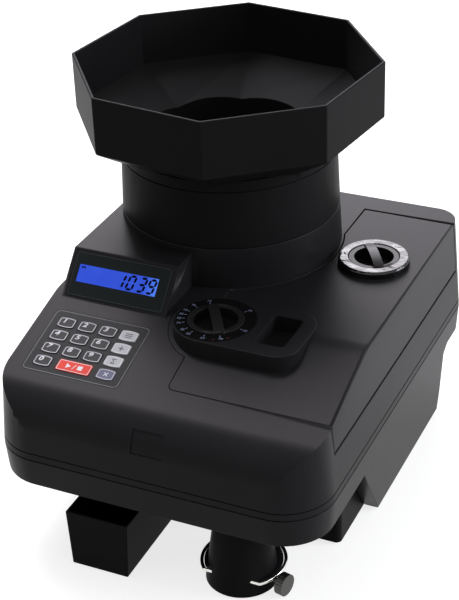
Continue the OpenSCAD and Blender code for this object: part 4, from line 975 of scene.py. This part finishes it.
class COUNTER_OT_dials(bpy.types.Operator):
    """Dresses both dials: rings, knobs, pointers, ticks and digits."""

    bl_idname = "counter.dials"
    bl_label = "Dials"

    def execute(self, context):
        look = finishes()
        size = sizes()
        edge = size.small_edge
        dressed("diameter_scale", look["gloss"], FINE_EDGE)
        dressed("diameter_knob", look["knob"], edge)
        dressed("thickness_scale", look["polish"], edge)
        dressed("thickness_knob", look["knob"], FINE_EDGE)
        paint(look["alloy"], "diameter_guide", "thickness_gate")
        face = Matrix.Translation(spot(*DIAL, DIAL_SCALE_Z))
        marks = bmesh.new()
        for degrees, number in DIAL_MARKS:
            way = math.radians(degrees)
            ray = Vector((math.cos(way), math.sin(way)))
            join(marks, bar(*(ray * DIAL_TICK[0]), *(ray * DIAL_TICK[1]), DIAL_TICK_WIDTH), at(0, 0))
            join(marks, digits(number, size.dial_digit), at(*(ray * DIAL_DIGIT_R)))
        printed("dial_digits", marks, face, 0.0, look["dial_ink"], "lid")
        stop = bmesh.new()
        for degrees in RED_MARK_ANGLES:
            way = math.radians(degrees)
            ray = Vector((math.cos(way), math.sin(way)))
            side = Vector((-ray.y, ray.x)) * RED_MARK_HALF
            middle = ray * RED_MARK_R
            join(stop, bar(*(middle - side), *(middle + side), RED_MARK_WIDTH), at(0, 0))
        printed("dial_red_marks", stop, face, 0.0, look["red_ink"], "lid")
        return {"FINISHED"}


class COUNTER_OT_outlet(bpy.types.Operator):
    """Dresses the outlet tube with its ring and thumbscrew, and the reject tray."""

    bl_idname = "counter.outlet"
    bl_label = "Outlet and tray"

    def execute(self, context):
        look = finishes()
        edge = sizes().small_edge
        dressed("outlet_tube", look["hopper"], edge)
        dressed("reject_tray", look["hopper"], sizes().tray_edge)
        dressed("bag_ring", look["chrome"], WIRE_EDGE)
        dressed("thumbscrew", look["nickel"], edge)
        return {"FINISHED"}


class COUNTER_OT_drive(bpy.types.Operator):
    """Gives the coin drive and the electronics inside their materials."""

    bl_idname = "counter.drive"
    bl_label = "Coin drive"

    def execute(self, context):
        look = finishes()
        paint(look["alloy"], "coin_disc", "coin_rail", "disc_pulley")
        paint(
            look["steel"],
            "disc_shaft", "disc_bearing", "drive_motor", "motor_pulley", "transport_drive_roller",
            "transport_idler", "stop_solenoid", "stop_pin", "chassis_plate", "power_supply",
        )
        paint(look["rubber"], "drive_belt", "transport_belt")
        paint(look["knob"], "count_sensor")
        paint(look["board"], "main_board")
        return {"FINISHED"}


class COUNTER_OT_rear(bpy.types.Operator):
    """Dresses the power inlet and its rocker switch."""

    bl_idname = "counter.rear"
    bl_label = "Power inlet"

    def execute(self, context):
        look = finishes()
        edge = sizes().small_edge
        dressed("power_inlet", look["knob"], edge)
        dressed("power_switch", look["gloss"], edge)
        self.pins(look["nickel"])
        self.switch_signs(look["ink"])
        return {"FINISHED"}

    def pins(self, material):
        """Three flat contact pins that stand on the socket's floor."""
        bm = bmesh.new()
        for x, y in SOCKET_PINS:
            shape = bmesh.new()
            bmesh.ops.create_cube(shape, size=MM)
            bmesh.ops.scale(shape, vec=PIN_SIZE, verts=shape.verts)
            tips = [e for e in shape.edges if min(v.co.z for v in e.verts) > 0]
            bmesh.ops.bevel(
                shape, geom=tips, affect="EDGES", offset=PIN_BEVEL * MM, segments=2, profile=0.5, material=-1
            )
            join(bm, shape, REAR @ Matrix.Translation(Vector((x, y, SOCKET_FLOOR + PIN_SIZE[2] / 2)) * MM))
        new_piece("inlet_pins", bm, material, BODY_OF["power_inlet"])

    def switch_signs(self, material):
        """The on and off signs on the two halves of the rocker."""
        rocker = REAR @ Matrix.Translation(Vector(ROCKER_AT) * MM) @ Matrix.Rotation(ROCKER_TILT, 4, "X")
        on = bmesh.new()
        join(on, plate(*ROCKER_BAR), at(0, 0))
        off = bmesh.new()
        join(off, outline(*ROCKER_RING, ROCKER_RING_LINE, corner=ROCKER_RING_CORNER), at(0, 0))
        body, slot = BODY_OF["power_switch"], SLOT_OF["power_switch"]
        for name, marks, side in (("switch_on", on, 1), ("switch_off", off, -1)):
            place = Matrix.Translation(Vector((0, ROCKER_SIGN_AT * side, ROCKER_SIGN_Z)) * MM)
            half = place @ Matrix.Rotation(side * ROCKER_RISE, 4, "X")
            printed(name, marks, rocker @ half, 0.0, material, body)


class COUNTER_OT_stage(bpy.types.Operator):
    """Adds the floor, the lamps, the world and the camera."""

    bl_idname = "counter.stage"
    bl_label = "Stage"

    def execute(self, context):
        self.floor()
        self.world(context.scene)
        for lamp in LAMPS:
            self.lamp(*lamp)
        self.camera(context.scene)
        context.scene.view_settings.view_transform = "Standard"
        return {"FINISHED"}

    def seen(self, tree):
        """One where the camera, a mirror or glass looks at the backdrop, nought for its light."""
        path = tree.nodes.new("ShaderNodeLightPath")
        rays = path.outputs["Is Camera Ray"]
        for name in ("Is Glossy Ray", "Is Transmission Ray"):
            either = tree.nodes.new("ShaderNodeMath")
            either.operation = "MAXIMUM"
            tree.links.new(rays, either.inputs[0])
            tree.links.new(path.outputs[name], either.inputs[1])
            rays = either.outputs["Value"]
        return rays

    def floor(self):
        """A wide pale floor under the machine, which looks white and keeps a faint shadow."""
        bm = bmesh.new()
        bmesh.ops.create_grid(bm, x_segments=1, y_segments=1, size=FLOOR_HALF)
        mesh = bpy.data.meshes.new("floor")
        bm.to_mesh(mesh)
        bm.free()
        material, tree, shader = new_finish("pale_floor", Base_Color=FLOOR_TONE, Roughness=0.9)
        shader.inputs["Emission Color"].default_value = WHITE
        white = tree.nodes.new("ShaderNodeMath")
        white.operation = "MULTIPLY"
        white.inputs[1].default_value = FLOOR_WHITE
        tree.links.new(self.seen(tree), white.inputs[0])
        tree.links.new(white.outputs["Value"], shader.inputs["Emission Strength"])
        mesh.materials.append(material)
        floor = bpy.data.objects.new("floor", mesh)
        bpy.context.scene.collection.objects.link(floor)

    def world(self, scene):
        """A room that looks white, and whose light falls mostly from above."""
        world = bpy.data.worlds.new("room")
        world.use_nodes = True
        tree = world.node_tree
        sky = tree.nodes["Background"]
        sky.inputs["Color"].default_value = WHITE
        place = tree.nodes.new("ShaderNodeTexCoord")
        split = tree.nodes.new("ShaderNodeSeparateXYZ")
        tree.links.new(place.outputs["Generated"], split.inputs["Vector"])
        soft = tree.nodes.new("ShaderNodeMapRange")
        soft.inputs["From Min"].default_value = 0.1
        soft.inputs["From Max"].default_value = 1.0
        soft.inputs["To Min"].default_value = ROOM_LIGHT[0]
        soft.inputs["To Max"].default_value = ROOM_LIGHT[1]
        tree.links.new(split.outputs["Z"], soft.inputs["Value"])
        level = tree.nodes.new("ShaderNodeMapRange")
        tree.links.new(soft.outputs["Result"], level.inputs["To Min"])
        level.inputs["To Max"].default_value = 1.0
        tree.links.new(self.seen(tree), level.inputs["Value"])
        tree.links.new(level.outputs["Result"], sky.inputs["Strength"])
        scene.world = world

    def lamp(self, name, place, width, power, tint):
        """A square soft lamp aimed at the machine's middle."""
        light = bpy.data.lights.new(name, "AREA")
        light.size = width
        light.energy = power
        light.color = tint
        holder = bpy.data.objects.new(name, light)
        holder.location = place
        aim = LAMP_AIM - Vector(place)
        holder.rotation_euler = aim.to_track_quat("-Z", "Y").to_euler()
        bpy.context.scene.collection.objects.link(holder)

    def camera(self, scene):
        """The camera at the picture's angle."""
        data = bpy.data.cameras.new("camera")
        data.lens = CAMERA_LENS
        data.sensor_width = CAMERA_SENSOR
        holder = bpy.data.objects.new("camera", data)
        tilt = Matrix.Rotation(math.pi / 2 - CAMERA_ELEVATION, 3, "X")
        level = Matrix.Rotation(CAMERA_AZIMUTH, 3, "Z") @ tilt
        turn = (level @ Matrix.Rotation(CAMERA_ROLL, 3, "Z")).to_4x4()
        holder.matrix_world = Matrix.Translation(CAMERA_AT) @ turn
        bpy.context.scene.collection.objects.link(holder)
        scene.camera = holder


class COUNTER_PT_pieces(bpy.types.Panel):
    """Lists the pieces in the sidebar."""

    bl_idname = "COUNTER_PT_pieces"
    bl_label = "Coin counting machine"
    bl_space_type = "VIEW_3D"
    bl_region_type = "UI"
    bl_category = "Counter"

    def draw(self, context):
        for operator in PIECES:
            self.layout.operator(operator.bl_idname)
        for group in (context.scene.counter_sizes, context.scene.counter_colours):
            for name in group.bl_rna.properties.keys():
                if name not in ("name", "rna_type"):
                    self.layout.prop(group, name)


PIECES = (
    COUNTER_OT_stage,
    COUNTER_OT_covers,
    COUNTER_OT_hopper,
    COUNTER_OT_display,
    COUNTER_OT_keypad,
    COUNTER_OT_dials,
    COUNTER_OT_outlet,
    COUNTER_OT_drive,
    COUNTER_OT_rear,
)
CLASSES = (CounterSizes, CounterColours, *PIECES, COUNTER_PT_pieces)


def register():
    """Adds the operators, the panel and the settings."""
    for cls in CLASSES:
        bpy.utils.register_class(cls)
    bpy.types.Scene.counter_sizes = PointerProperty(type=CounterSizes)
    bpy.types.Scene.counter_colours = PointerProperty(type=CounterColours)


def unregister():
    """Takes them away again."""
    del bpy.types.Scene.counter_colours
    del bpy.types.Scene.counter_sizes
    for cls in reversed(CLASSES):
        bpy.utils.unregister_class(cls)


def main():
    """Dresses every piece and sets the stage."""
    register()
    for operator in PIECES:
        group, name = operator.bl_idname.split(".")
        getattr(getattr(bpy.ops, group), name)()


if __name__ == "__main__":
    main()
